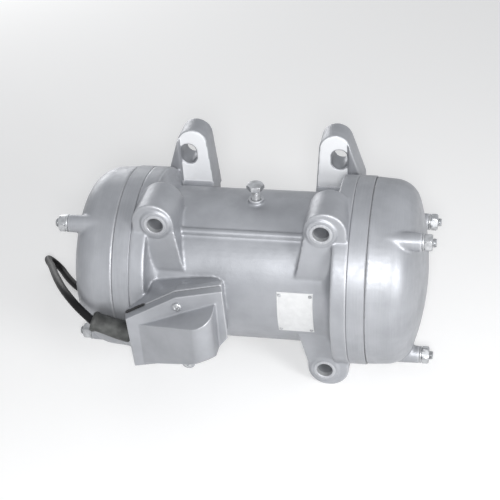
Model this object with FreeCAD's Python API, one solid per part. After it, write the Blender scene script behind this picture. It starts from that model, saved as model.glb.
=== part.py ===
import FreeCAD, Part
import math
import os

# External vibration motor: a three-phase motor whose shaft carries eccentric weights in two
# domed end covers. Everything is drawn about the shaft line, which runs along X, and is moved at
# the end so that the origin lies under the middle of the motor, on the surface it stands on.

V = FreeCAD.Vector
X_AXIS = V(1, 0, 0)
Y_AXIS = V(0, 1, 0)
Z_AXIS = V(0, 0, 1)

# ---- driving dimensions, mm -------------------------------------------------
FLANGE_R = 105.0          # rings and covers, outer radius
BODY_R = 84.0             # stator housing barrel, outer radius
CORE_R = 72.0             # stator core, outer radius
SPIGOT_R = 76.4           # bore that centres the end shields
RIM_X = 99.5              # inner face of the housing's end flange
JOINT_X = 116.6           # joint between housing and end shield
COVER_X = 135.0           # joint between end shield and domed cover
COVER_R = 102.6           # cover, radius where its wall runs into its corner
COVER_T = 6.0             # wall of the cover
COVER_DRAFT = 4.2         # degrees that the cover's wall draws in
CORNER_R = 30.0           # round between the cover's wall and its crown
CROWN_R = 268.5           # sphere of the crown
CROWN_X = 196.0           # outermost point of the cover
JOINT_GASKET_T = 0.4      # gasket between end shield and cover
SHAFT_Z = 113.0           # height of the shaft line above the standing surface
FEET_Y = 116.0            # shaft line to the mounting face of the feet

# feet and through-bolt ears
EAR_X = 88.2
EAR_Z = 90.3
FOOT_CAST_Y = 81.7        # cast front of a foot
FOOT_FRONT_Y = 84.2       # machined seat of a foot, on the side of the bolt head
FOOT_SEAT_X = 99.2        # the cutter for the seat stops at the end flange
FOOT_SEAT_Z = 52.5
FOOT_TIP = 30.7           # hole centre to the end of an upper foot
FOOT_ROUND_R = 18.0       # round end of a foot
FOOT_ROUND_X = 83.1
FOOT_OUTER_LEAN = 18.0    # degrees that a foot's sides spread towards its root
FOOT_INNER_LEAN = 5.0
FOOT_EDGE_X = 115.5
FOOT_ROOT_Z = 38.0
SLOT_R = 9.0
SLOT_LENGTH = 25.0
EAR_FRONT_Y = -68.5       # front face of a front ear
EAR_SHORT_Y = -46.0       # the same for the ear behind the terminal box
EAR_BACK_Y = -18.0
EAR_R = 22.7
EAR_MID_X = 91.9          # the boss stands a little outside its hole
EAR_LOW = 25.3            # hole centre to the flat end of the boss
EAR_HOLE_R = 9.0
EAR_RING_R = 15.6         # raised seat round a front hole
EAR_RING_H = 2.0
EARS = ((-1, 1, EAR_FRONT_Y), (1, 1, EAR_FRONT_Y), (1, -1, EAR_FRONT_Y), (-1, -1, EAR_SHORT_Y))

# cover studs, three on a circle
STUD_CIRCLE_R = 92.6
STUD_R = 5.0
STUD_ANGLES = (35.0, 155.0, 275.0)   # from straight up, towards the front
BOSS_END_X = 191.0
BOSS_R = 10.8
BOSS_END_R = 9.6

# bearings
SHAFT_R = 20.0
BEARING_X = (105.0, 128.0)
BEARING_OUTER_R = 45.0
ROLLER_CIRCLE_R = 32.5
ROLLER_R = 6.0
ROLLER_COUNT = 10
ROLLER_GAP = 0.03         # radial play to each race

# eccentric weights
WEIGHT_SEAT_R = 17.5
WEIGHT_R = 74.0
WEIGHT_X = ((139.0, 153.0), (154.0, 168.0))
SHAFT_END_X = 180.0

# terminal box, on the front
BOX_FACE_Y = -124.5       # machined face of the base
GASKET_T = 1.5
GASKET_INSET = 0.8
LID_PLATE_T = 12.0
LID_FRONT_Y = BOX_FACE_Y - GASKET_T - LID_PLATE_T
HOOD_H = 29.0             # how far the lid's hood stands out at its deep end
HOOD_START_X = -97.0      # where the hood begins to rise
HOOD_NOSE_X = -27.0       # middle of its round nose
HOOD_NOSE_R = 15.0
HOOD_LOW = 70.0           # more than the hood's height, for the block it is cut from
HOOD_ROOF = ((-127.0, -3.2), (20.0, 56.7))
HOOD_FLOOR = ((-127.0, -45.6), (-49.0, -37.5), (-33.8, -36.1), (-21.6, -29.6), (20.0, -2.3))
HOOD_ROOF_RISE = -0.21    # rise of the hood's roof and floor for each unit outwards
HOOD_FLOOR_RISE = 0.727
LID_OUTLINE = ((-110.5, 15.2), (-53.5, 47.9), (-3.6, 59.4), (-1.6, 0.2), (-17.0, -19.8),
               (-46.0, -39.0), (-72.9, -40.0), (-107.8, -47.8))
LID_LEAN = (-4.0, -1.5)   # shift of the outline from the lid's front to the base
BOX_OUTLINE = tuple((x + LID_LEAN[0], z + LID_LEAN[1]) for x, z in LID_OUTLINE)
LID_SCREWS = ((-52.5, LID_FRONT_Y, 36.5), (-50.0, -131.0, -43.9))
LID_SCREW_R = 3.0
LID_SCREW_TIP_Y = -110.0
LID_HEAD_R = 5.2
LID_LUG_R = 7.5
BOX_WALL = 13.0
BOARD_BACK_Y = -95.0      # floor of the box, which the terminal board stands on
BOARD_T = 8.0
BOARD_MID = (-66.0, -5.0)
BOARD_SIZE = (52.0, 26.0)
BOARD_SCREWS = ((-87.5, -5.0), (-44.5, -5.0))
BOARD_SCREW_R = 2.0
TERMINAL_X = (-79.0, -66.0, -53.0)
TERMINAL_Z = (-13.0, 3.0)
TERMINAL_R = 2.5
TERMINAL_NUT_T = 4.0
EARTH_AT = (-33.0, 22.0)
EARTH_R = 3.0

# cable entry and cable
GLAND_Y = -115.0
GLAND_Z = -21.4
GLAND_END_X = -115.0
GLAND_R = 9.2
PLUG_R = 6.8
SLEEVE_ROOT = V(-115.5, GLAND_Y, GLAND_Z)
SLEEVE_MOUTH = V(-157.6, GLAND_Y, -8.1)
SLEEVE_R = 11.0
CABLE_R = 4.5
TAIL_END = V(-88.0, GLAND_Y, GLAND_Z)
CABLE_ROUTE = [
    SLEEVE_MOUTH,
    V(-170.9, -108.2, -1.7), V(-185.4, -96.8, 3.6), V(-203.4, -75.2, 2.4),
    V(-223.9, -40.6, -9.8), V(-244.1, -1.2, -31.0), V(-265.0, 40.8, -55.0),
    V(-282.3, 74.9, -73.9), V(-292.5, 91.5, -82.0), V(-299.3, 105.4, -86.7),
    V(-299.7, 113.4, -93.9), V(-294.3, 116.6, -102.6), V(-285.9, 113.2, -108.5),
    V(-273.1, 96.6, -108.5), V(-250.2, 73.5, -108.5), V(-228.0, 62.5, -108.5),
    V(-200.0, 60.0, -108.5), V(-171.0, 72.0, -108.5), V(-147.0, 97.0, -108.5),
    V(-122.0, 128.0, -108.5), V(-88.0, 150.0, -108.5), V(-45.0, 155.0, -108.5),
]
COIL_CENTRE = V(-10, 205, -SHAFT_Z)
COIL_R = 50.0             # middle of the coil's turns

# bolt on top, plate on the front
TOP_BOLT_AT = V(8, -3, 0)
TOP_BOLT_R = 5.0
TOP_HEAD_Z = 99.5         # underside of its head
PLATE_ANGLE = (75.0, 112.0)
PLATE_X = (40.5, 79.5)
PLATE_T = 0.8
RIVET_R = 1.2

os.makedirs("parts", exist_ok=True)
TO_FLOOR = V(0, (-(LID_FRONT_Y - HOOD_H) - FEET_Y) / 2, SHAFT_Z)


# ---- small helpers -----------------------------------------------------------
def keep(name, shape):
    """Move a finished piece from the shaft line to its standing place and write it."""
    moved = shape.copy()
    moved.translate(TO_FLOOR)
    moved.exportStep("parts/" + name + ".step")


def rod(start, direction, radius, length):
    return Part.makeCylinder(radius, length, start, direction)


def ring(x0, x1, inner, outer):
    """A plain ring round the shaft line."""
    solid = rod(V(x0, 0, 0), X_AXIS, outer, x1 - x0)
    return solid.cut(rod(V(x0 - 1, 0, 0), X_AXIS, inner, x1 - x0 + 2))


def turned(points):
    """Revolve a closed (x, radius) outline about the shaft line."""
    line = [V(x, 0, r) for x, r in points]
    return Part.Face(Part.makePolygon(line + line[:1])).revolve(V(0, 0, 0), X_AXIS, 360)


def box(x0, x1, y0, y1, z0, z1):
    return Part.makeBox(x1 - x0, y1 - y0, z1 - z0, V(x0, y0, z0))


def plate_y(points, y0, y1):
    """A flat outline in X and Z, given thickness along Y."""
    line = [V(x, y0, z) for x, z in points]
    return Part.Face(Part.makePolygon(line + line[:1])).extrude(V(0, y1 - y0, 0))


def mirrored(shape):
    return shape.mirror(V(0, 0, 0), X_AXIS)


def both_ends(shape):
    return shape, mirrored(shape)


def around(angle, radius, x=0.0):
    """A point on a circle about the shaft line, its angle from the top towards the front."""
    a = math.radians(angle)
    return V(x, -radius * math.sin(a), radius * math.cos(a))


def hexagon(start, direction, across, height):
    """A hexagonal prism with its top and bottom corners turned off."""
    outer = across / math.sqrt(3)
    turn = FreeCAD.Rotation(Z_AXIS, direction)
    corners = [start + turn.multVec(V(outer * math.cos(math.radians(60 * i)),
                                      outer * math.sin(math.radians(60 * i)), 0))
               for i in range(7)]
    prism = Part.Face(Part.makePolygon(corners)).extrude(direction * height)
    cone_h = 0.27 * across
    top = Part.makeCone(across / 2 * 0.96 + cone_h * 1.7, across / 2 * 0.96, cone_h,
                        start + direction * (height - cone_h), direction)
    return prism.common(top.fuse(rod(start, direction, across, height - cone_h)))


def tube_along(points, radius, bend_radii):
    """A round bar along straight runs joined by tangent arcs."""
    edges = []
    at = points[0]
    for i in range(1, len(points) - 1):
        before = (points[i] - points[i - 1]).normalize()
        after = (points[i + 1] - points[i]).normalize()
        turn = before.getAngle(after)
        reach = bend_radii[i - 1] * math.tan(turn / 2)
        start = points[i] - before * reach
        end = points[i] + after * reach
        inward = (after - before).normalize()
        depth = bend_radii[i - 1] * (1 / math.cos(turn / 2) - 1)
        edges.append(Part.LineSegment(at, start).toShape())
        edges.append(Part.Arc(start, points[i] + inward * depth, end).toShape())
        at = end
    edges.append(Part.LineSegment(at, points[-1]).toShape())
    path = Part.Wire(edges)
    first = (points[1] - points[0]).normalize()
    circle = Part.Wire(Part.makeCircle(radius, points[0], first))
    return path.makePipeShell([circle], True, False), path


# ---- stator housing: one casting ---------------------------------------------
def barrel():
    """Barrel with a flange at each end, coved into it, bored for the core and the spigots."""
    half = [(0, BODY_R), (RIM_X - 10, BODY_R), (RIM_X - 6, BODY_R + 1.5),
            (RIM_X - 2, BODY_R + 6), (RIM_X, BODY_R + 12), (RIM_X, FLANGE_R - 1),
            (RIM_X + 1, FLANGE_R), (JOINT_X - 0.7, FLANGE_R), (JOINT_X, FLANGE_R - 0.7),
            (JOINT_X, SPIGOT_R), (60, SPIGOT_R), (60, CORE_R), (0, CORE_R)]
    right = turned(half)
    return right.fuse(mirrored(right))


def foot_outline(side, up, tip):
    """Outline of a foot: a round end and sides that spread towards the root."""
    centre_z = EAR_Z + tip - FOOT_ROUND_R
    outer, inner = math.radians(FOOT_OUTER_LEAN), math.radians(FOOT_INNER_LEAN)

    def at(x, z):
        return V(side * x, FOOT_CAST_Y, up * z)

    outer_x = FOOT_ROUND_X + FOOT_ROUND_R * math.cos(outer)
    outer_z = centre_z + FOOT_ROUND_R * math.sin(outer)
    inner_x = FOOT_ROUND_X - FOOT_ROUND_R * math.cos(inner)
    inner_z = centre_z + FOOT_ROUND_R * math.sin(inner)
    shoulder_z = outer_z - (FOOT_EDGE_X - outer_x) / math.tan(outer)
    root_x = inner_x - (inner_z - FOOT_ROOT_Z) * math.tan(inner)
    round_end = Part.Arc(at(inner_x, inner_z), at(FOOT_ROUND_X, centre_z + FOOT_ROUND_R),
                         at(outer_x, outer_z)).toShape()
    sides = Part.makePolygon([at(outer_x, outer_z), at(FOOT_EDGE_X, shoulder_z),
                              at(FOOT_EDGE_X, FOOT_ROOT_Z), at(root_x, FOOT_ROOT_Z),
                              at(inner_x, inner_z)])
    return Part.Wire([round_end] + sides.Edges)


def foot(side, up):
    """A mounting foot: a thick lug with a milled seat, on a root that reaches to the barrel."""
    tip = FOOT_TIP if up > 0 else SHAFT_Z - EAR_Z
    lug = Part.Face(foot_outline(side, up, tip)).extrude(V(0, FEET_Y - FOOT_CAST_Y, 0))
    z0, z1 = sorted((up * FOOT_SEAT_Z, up * 130.0))
    x0, x1 = sorted((side * 50.0, side * FOOT_SEAT_X))
    lug = lug.cut(box(x0, x1, FOOT_CAST_Y - 1, FOOT_FRONT_Y, z0, z1))
    z0, z1 = sorted((up * 22.0, up * 50.0))
    x0, x1 = sorted((side * 61.0, side * 110.5))
    return lug.fuse(box(x0, x1, 50.0, FEET_Y, z0, z1))


def foot_slot(side, up):
    """Upright slot through a foot."""
    half = SLOT_LENGTH / 2 - SLOT_R
    cx, cz = side * EAR_X, up * EAR_Z
    y0 = FOOT_FRONT_Y - 1
    length = FEET_Y - y0 + 1
    slot = box(cx - SLOT_R, cx + SLOT_R, y0, y0 + length, cz - half, cz + half)
    for end in (-half, half):
        slot = slot.fuse(rod(V(cx, y0, cz + end), Y_AXIS, SLOT_R, length))
    return slot


def front_ear(side, up, front_y):
    """A front ear: a long boss with a round end, a raised bolt seat and a web to the barrel."""
    cx, cz = side * EAR_MID_X, up * EAR_Z
    low = up * (EAR_Z - EAR_LOW)
    left, right = V(cx - EAR_R, front_y, cz), V(cx + EAR_R, front_y, cz)
    top = V(cx, front_y, cz + up * EAR_R)
    corner_l, corner_r = V(cx - EAR_R, front_y, low), V(cx + EAR_R, front_y, low)
    outline = Part.Wire([Part.LineSegment(corner_l, left).toShape(),
                         Part.Arc(left, top, right).toShape(),
                         Part.LineSegment(right, corner_r).toShape(),
                         Part.LineSegment(corner_r, corner_l).toShape()])
    boss = Part.Face(outline).extrude(V(0, EAR_BACK_Y - front_y, 0))
    seat = rod(V(side * EAR_X, front_y - EAR_RING_H, cz), Y_AXIS, EAR_RING_R, EAR_RING_H + 1)
    return boss.fuse(seat).fuse(web(side, up, front_y))


def web(side, up, front_y):
    """The flat-faced web under a front ear, wider towards the middle of the barrel."""
    inner_top, outer_top = side * (EAR_MID_X - EAR_R), side * (RIM_X + 2.5)
    inner_low, outer_low = side * (EAR_MID_X - EAR_R - 8.7), side * (RIM_X - 1.0)
    z_top, z_low = up * (EAR_Z - 8.0), up * FOOT_ROOT_Z
    y_low, y_back = front_y - 7.2, front_y + 38.5
    front = [V(inner_top, front_y, z_top), V(outer_top, front_y, z_top),
             V(outer_low, y_low, z_low), V(inner_low, y_low, z_low)]
    back = [V(p.x, y_back, p.z) for p in front]
    loft = Part.makeLoft([Part.makePolygon(front + front[:1]),
                          Part.makePolygon(back + back[:1])], True, True)
    return loft


def ear_hole(side, up, front_y):
    """Through hole of a front ear, with a small chamfer at its seat."""
    at = V(side * EAR_X, front_y - EAR_RING_H, up * EAR_Z)
    hole = rod(at - Y_AXIS, Y_AXIS, EAR_HOLE_R, EAR_BACK_Y - front_y + EAR_RING_H + 6)
    return hole.fuse(Part.makeCone(EAR_HOLE_R + 1.2, EAR_HOLE_R, 1.2, at, Y_AXIS))


def box_base():
    """The terminal box's neck and face, flaring from the barrel to the lid's outline."""
    root = [V(-97, -66, 25), V(-56, -66, 25), V(-22, -66, 25), V(-22, -66, -6),
            V(-30, -66, -22), V(-48, -66, -36), V(-97, -66, -36)]
    face = [V(x, BOX_FACE_Y + 8.0, z) for x, z in BOX_OUTLINE]
    neck = Part.makeLoft([Part.makePolygon(root + root[:1]),
                          Part.makePolygon(face + face[:1])], True, True)
    return neck.fuse(plate_y(BOX_OUTLINE, BOX_FACE_Y, BOX_FACE_Y + 8.0))


def inset(points, distance):
    """The same outline, drawn in by an even distance."""
    line = [V(x, 0, z) for x, z in points]
    wire = Part.makePolygon(line + line[:1]).makeOffset2D(-distance, 2)
    return [(p.Point.x, p.Point.z) for p in wire.OrderedVertexes]


def box_pocket():
    """Room for the terminal board, and the hole that its leads take into the barrel."""
    pocket = plate_y(inset(BOX_OUTLINE, BOX_WALL), BOX_FACE_Y - 1, BOARD_BACK_Y)
    leads = rod(V(BOARD_MID[0], BOARD_BACK_Y - 5, BOARD_MID[1]), Y_AXIS, 9.0, 40.0)
    return pocket.fuse(leads)


def housing():
    shape = barrel()
    for side in (-1, 1):
        for up in (-1, 1):
            shape = shape.fuse(foot(side, up))
    for ear in EARS:
        shape = shape.fuse(front_ear(*ear))
    rib = rod(around(34.0, BODY_R, -66.0), X_AXIS, 4.2, 132.0)
    top_boss = rod(TOP_BOLT_AT + Z_AXIS * (BODY_R - 6), Z_AXIS, 8.5, 10.5)
    gland_boss = rod(V(GLAND_END_X, GLAND_Y, GLAND_Z), X_AXIS, GLAND_R, 16.0)
    shape = shape.fuse(rib).fuse(top_boss).fuse(box_base()).fuse(gland_boss)
    # the bores again, through everything that was joined on
    shape = shape.cut(rod(V(-60, 0, 0), X_AXIS, CORE_R, 120))
    for side in (-1, 1):
        bore = rod(V(side * 60, 0, 0), X_AXIS * side, SPIGOT_R, 60)
        clearance = ring(0, 90, SPIGOT_R - 1, FLANGE_R + 0.4)
        clearance.translate(V(JOINT_X, 0, 0))
        shape = shape.cut(bore).cut(clearance if side > 0 else mirrored(clearance))
    for side in (-1, 1):
        for up in (-1, 1):
            shape = shape.cut(foot_slot(side, up))
    for ear in EARS:
        shape = shape.cut(ear_hole(*ear))
    shape = shape.cut(box_pocket())
    shape = shape.cut(rod(V(GLAND_END_X - 1, GLAND_Y, GLAND_Z), X_AXIS, PLUG_R, 27.0))
    shape = shape.cut(rod(TOP_BOLT_AT + Z_AXIS * 66, Z_AXIS, TOP_BOLT_R, 30.0))
    for x, _, z in LID_SCREWS:
        shape = shape.fuse(rod(V(x, BOX_FACE_Y, z), Y_AXIS, LID_LUG_R, 22.0))
        shape = shape.cut(rod(V(x, BOX_FACE_Y - 1, z), Y_AXIS, LID_SCREW_R, 18.5))
    for angle in STUD_ANGLES:
        for side in (-1, 1):
            shape = shape.cut(rod(around(angle, STUD_CIRCLE_R, side * 102.0),
                                  X_AXIS * side, STUD_R, 20.0))
    for x, z in BOARD_SCREWS:
        shape = shape.cut(rod(V(x, BOARD_BACK_Y - 1, z), Y_AXIS, BOARD_SCREW_R, 10.0))
    shape = shape.cut(rod(V(EARTH_AT[0], BOARD_BACK_Y - 1, EARTH_AT[1]), Y_AXIS, EARTH_R, 9.0))
    for rivet in plate_rivets().Solids:
        shape = shape.cut(rivet)
    return shape.removeSplitter()


# ---- end shields, covers and what holds them ----------------------------------
def end_shield():
    """Bearing shield: spigot, outer band, web and bearing hub in one turned casting."""
    shape = turned([(103, 40), (103, 54), (110, 60), (110, 68), (108, 68), (108, SPIGOT_R),
                    (JOINT_X, SPIGOT_R), (JOINT_X, FLANGE_R - 0.7), (JOINT_X + 0.7, FLANGE_R),
                    (COVER_X - 0.7, FLANGE_R), (COVER_X, FLANGE_R - 0.7), (COVER_X, 82),
                    (126, 80), (124, 62), (131, 57), (131, BEARING_OUTER_R),
                    (BEARING_X[0], BEARING_OUTER_R), (BEARING_X[0], 40)])
    for angle in STUD_ANGLES:
        shape = shape.cut(rod(around(angle, STUD_CIRCLE_R, 100), X_AXIS, STUD_R + 0.5, 50))
    for k in range(3):
        shape = shape.cut(rod(around(120 * k, 51.0, 116), X_AXIS, 3.0, 20))
    return shape


def arc_point(centre, radius, angle):
    """A point of a round in the X-Z plane, its angle from +X towards +Z."""
    a = math.radians(angle)
    return V(centre[0] + radius * math.cos(a), 0, centre[1] + radius * math.sin(a))


def dome(shrink, x_open):
    """Solid of the domed cover: drafted wall, round corner and spherical crown, all tangent."""
    corner_z = COVER_R - CORNER_R
    crown = (CROWN_X - CROWN_R, 0.0)
    corner = (crown[0] + math.sqrt((CROWN_R - CORNER_R) ** 2 - corner_z ** 2), corner_z)
    meet = math.degrees(math.atan2(corner_z, corner[0] - crown[0]))
    corner_r, crown_r = CORNER_R - shrink, CROWN_R - shrink
    wall_end = arc_point(corner, corner_r, 90 - COVER_DRAFT)
    open_z = wall_end.z + (wall_end.x - x_open) * math.tan(math.radians(COVER_DRAFT))
    corner_mid = arc_point(corner, corner_r, (90 - COVER_DRAFT + meet) / 2)
    corner_end = arc_point(corner, corner_r, meet)
    top = arc_point(crown, crown_r, 0)
    wire = Part.Wire([Part.LineSegment(V(x_open, 0, 0), V(x_open, 0, open_z)).toShape(),
                      Part.LineSegment(V(x_open, 0, open_z), wall_end).toShape(),
                      Part.Arc(wall_end, corner_mid, corner_end).toShape(),
                      Part.Arc(corner_end, arc_point(crown, crown_r, meet / 2), top).toShape(),
                      Part.LineSegment(top, V(x_open, 0, 0)).toShape()])
    return Part.Face(wire).revolve(V(0, 0, 0), X_AXIS, 360)


def end_cover():
    """Domed cover with three long stud bosses that run out through its corner."""
    open_x = COVER_X + JOINT_GASKET_T
    shape = dome(0.0, open_x).cut(dome(COVER_T, COVER_X - 1))
    for angle in STUD_ANGLES:
        shape = shape.fuse(Part.makeCone(BOSS_R, BOSS_END_R, BOSS_END_X - open_x,
                                         around(angle, STUD_CIRCLE_R, open_x), X_AXIS))
    for angle in STUD_ANGLES:
        shape = shape.cut(rod(around(angle, STUD_CIRCLE_R, 130), X_AXIS, STUD_R + 0.5, 70))
    return shape.removeSplitter()


def cover_gasket():
    shape = ring(COVER_X, COVER_X + JOINT_GASKET_T, 84.0, FLANGE_R - 1.2)
    for angle in STUD_ANGLES:
        shape = shape.cut(rod(around(angle, STUD_CIRCLE_R, 130), X_AXIS, STUD_R + 0.5, 10))
    return shape


def cover_fasteners():
    """Studs, washers and nuts of one cover."""
    studs, washers, nuts = [], [], []
    for angle in STUD_ANGLES:
        at = around(angle, STUD_CIRCLE_R, BOSS_END_X)
        studs.append(rod(around(angle, STUD_CIRCLE_R, 102), X_AXIS, STUD_R, 103.5))
        washer = rod(at, X_AXIS, 9.6, 2.0).cut(rod(at, X_AXIS, STUD_R + 0.2, 2.0))
        washers.append(washer)
        nut = hexagon(at + X_AXIS * 2.0, X_AXIS, 17.0, 8.4)
        nuts.append(nut.cut(rod(at, X_AXIS, STUD_R, 12)))
    return Part.Compound(studs), Part.Compound(washers), Part.Compound(nuts)


# ---- electrical core -----------------------------------------------------------
def stator_core():
    shape = ring(-50, 50, 42.0, CORE_R)
    for k in range(24):
        slot = box(-51, 51, -3.0, 3.0, 45.0, 60.0).fuse(box(-51, 51, -1.4, 1.4, 40.0, 46.0))
        slot.rotate(V(0, 0, 0), X_AXIS, 15 * k)
        shape = shape.cut(slot)
    return shape


def stator_winding():
    """Two end crowns joined by the coil sides that fill the slots."""
    crown = turned([(54, 47), (74, 47), (78, 51), (78, 60), (74, 65), (54, 65), (52, 62), (52, 49)])
    shape = crown.fuse(mirrored(crown))
    for k in range(24):
        side = box(-53, 53, -2.6, 2.6, 47.5, 59.5)
        side.rotate(V(0, 0, 0), X_AXIS, 15 * k)
        shape = shape.fuse(side)
    return shape


def rotor_bars(radius_in, radius_out, half_width, half_length):
    bars = []
    for k in range(14):
        bar = box(-half_length, half_length, -half_width, half_width, radius_in, radius_out)
        bar.rotate(V(0, 0, 0), X_AXIS, 360.0 * k / 14)
        bars.append(bar)
    return bars


def rotor_core():
    shape = ring(-50, 50, 24.0, 41.5)
    for bar in rotor_bars(31.0, 39.0, 2.0, 51):
        shape = shape.cut(bar)
    return shape


def rotor_cage():
    """Cast cage: two end rings and the bars between them."""
    end = ring(50, 60, 26.5, 40.5)
    shape = end.fuse(mirrored(end))
    for bar in rotor_bars(31.0, 39.0, 2.0, 51):
        shape = shape.fuse(bar)
    return shape


def shaft():
    half = [(0, 24), (52, 24), (52, 23), (105, 23), (105, SHAFT_R), (139, SHAFT_R),
            (139, WEIGHT_SEAT_R), (SHAFT_END_X - 1.5, WEIGHT_SEAT_R),
            (SHAFT_END_X, WEIGHT_SEAT_R - 1.5), (SHAFT_END_X, 0), (0, 0)]
    right = turned(half)
    shape = right.fuse(mirrored(right)).removeSplitter()
    for key in keys():
        shape = shape.cut(key)
    return shape


def keys():
    return both_ends(box(141.0, 166.0, -4.0, 4.0, -WEIGHT_SEAT_R - 3.0, -WEIGHT_SEAT_R + 4.0))


# ---- bearings ------------------------------------------------------------------
def bearing_rings():
    x0, x1 = BEARING_X
    inner_track = ROLLER_CIRCLE_R - ROLLER_R - ROLLER_GAP
    outer_track = ROLLER_CIRCLE_R + ROLLER_R + ROLLER_GAP
    inner = ring(x0, x1, SHAFT_R, inner_track)
    outer = turned([(x0, outer_track - 2), (x0 + 3, outer_track - 2), (x0 + 3, outer_track),
                    (x1 - 3, outer_track), (x1 - 3, outer_track - 2), (x1, outer_track - 2),
                    (x1, BEARING_OUTER_R), (x0, BEARING_OUTER_R)])
    return outer, inner


def rollers():
    x0, x1 = BEARING_X
    return Part.Compound([rod(around(360.0 * k / ROLLER_COUNT, ROLLER_CIRCLE_R, x0 + 4.0),
                              X_AXIS, ROLLER_R, x1 - x0 - 8.0) for k in range(ROLLER_COUNT)])


def roller_cage():
    x0, x1 = BEARING_X
    shape = ring(x0 + 1.5, x1 - 1.5, ROLLER_CIRCLE_R - 2.2, ROLLER_CIRCLE_R + 2.2)
    for k in range(ROLLER_COUNT):
        at = around(360.0 * k / ROLLER_COUNT, ROLLER_CIRCLE_R, x0 + 3.9)
        shape = shape.cut(rod(at, X_AXIS, ROLLER_R + 0.1, x1 - x0 - 7.8))
    return shape


def bearing_cap():
    shape = turned([(128, 38), (128, BEARING_OUTER_R - 0.1), (131, BEARING_OUTER_R - 0.1), (131, 56),
                    (135, 56), (135, 28.5), (130, 28.5), (130, 38)])
    for k in range(3):
        shape = shape.cut(rod(around(120 * k, 51.0, 120), X_AXIS, 3.3, 20))
    return shape


def cap_screws():
    screws = []
    for k in range(3):
        at = around(120 * k, 51.0, 118)
        head = rod(around(120 * k, 51.0, 135), X_AXIS, 4.6, 2.6)
        screws.append(rod(at, X_AXIS, 3.0, 17.0).fuse(head))
    return Part.Compound(screws)


# ---- eccentric weights -----------------------------------------------------------
def weight(x0, x1):
    """A fan-shaped weight with a split hub, its pinch lugs at the top."""
    reach = 90.0
    wedge = [V(x0, 0, 8), V(x0, -reach, -26), V(x0, -reach, -reach), V(x0, reach, -reach),
             V(x0, reach, -26)]
    fan = rod(V(x0, 0, 0), X_AXIS, WEIGHT_R, x1 - x0)
    fan = fan.common(Part.Face(Part.makePolygon(wedge + wedge[:1])).extrude(V(x1 - x0, 0, 0)))
    hub = rod(V(x0, 0, 0), X_AXIS, 29.0, x1 - x0)
    lugs = box(x0, x1, -15, 15, 10, 41)
    shape = fan.fuse(hub).fuse(lugs).cut(rod(V(x0 - 1, 0, 0), X_AXIS, WEIGHT_SEAT_R, x1 - x0 + 2))
    shape = shape.cut(box(x0 - 1, x1 + 1, -1.5, 1.5, 0, 50))
    shape = shape.cut(rod(V((x0 + x1) / 2, -30, 34), Y_AXIS, 4.0, 60))
    for key in keys():
        shape = shape.cut(key)
    return shape.removeSplitter()


def pinch_bolts():
    bolts = []
    for x0, x1 in WEIGHT_X:
        x = (x0 + x1) / 2
        head = rod(V(x, 15, 34), Y_AXIS, 6.4, 8.0)
        bolts += both_ends(rod(V(x, -19, 34), Y_AXIS, 4.0, 34.0).fuse(head))
    return Part.Compound(bolts)


def shaft_nut():
    """Round slotted nut that keeps the weights on the shaft."""
    shape = ring(168.5, 176.0, WEIGHT_SEAT_R, 26.0)
    for k in range(4):
        notch = box(168.0, 176.5, -2.5, 2.5, 23.0, 27.0)
        notch.rotate(V(0, 0, 0), X_AXIS, 90 * k + 45)
        shape = shape.cut(notch)
    return shape


# ---- terminal box ------------------------------------------------------------------
def hood(draw_in):
    """The lid's hood: a wedge that deepens to the right, ends in a round nose, and is cut by a
    sloping roof; drawn in evenly, it also gives the hollow inside."""
    d = draw_in
    y0 = LID_FRONT_Y + 0.01
    nose_y = LID_FRONT_Y - HOOD_H + HOOD_NOSE_R
    reach, rise = HOOD_NOSE_X - HOOD_START_X, LID_FRONT_Y - nose_y
    slope = math.atan2(rise, reach) + math.asin(HOOD_NOSE_R / math.hypot(reach, rise))
    nose = V(HOOD_NOSE_X, nose_y, -HOOD_LOW)
    out = V(-math.sin(slope), -math.cos(slope), 0)
    nose_start = nose + out * (HOOD_NOSE_R - d)
    nose_end = nose + X_AXIS * (HOOD_NOSE_R - d)
    nose_mid = nose + (out + X_AXIS).normalize() * (HOOD_NOSE_R - d)
    start = V(nose_start.x - (y0 - nose_start.y) / math.tan(slope), y0, -HOOD_LOW)
    corner = V(nose_end.x, y0, -HOOD_LOW)
    plan = Part.Wire([Part.LineSegment(start, nose_start).toShape(),
                      Part.Arc(nose_start, nose_mid, nose_end).toShape(),
                      Part.LineSegment(nose_end, corner).toShape(),
                      Part.LineSegment(corner, start).toShape()])
    block = Part.Face(plan).extrude(V(0, 0, 2 * HOOD_LOW))
    outline = inset(LID_OUTLINE, d) if d > 0 else LID_OUTLINE
    block = block.common(plate_y(outline, y0 - HOOD_H - 5, y0 + 5))
    above = swept_side([(x, z - d) for x, z in HOOD_ROOF], 80.0, HOOD_ROOF_RISE)
    below = swept_side([(x, z + d) for x, z in HOOD_FLOOR], -80.0, HOOD_FLOOR_RISE)
    return block.cut(above).cut(below)


def swept_side(line, reach, rise):
    """All that lies above or below a line on the lid's front, as the line rises outwards."""
    points = list(line) + [(line[-1][0], line[-1][1] + reach), (line[0][0], line[0][1] + reach)]
    face = [V(x, LID_FRONT_Y + 0.01, z) for x, z in points]
    return Part.Face(Part.makePolygon(face + face[:1])).extrude(V(0, -1, rise) * 60.0)


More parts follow.
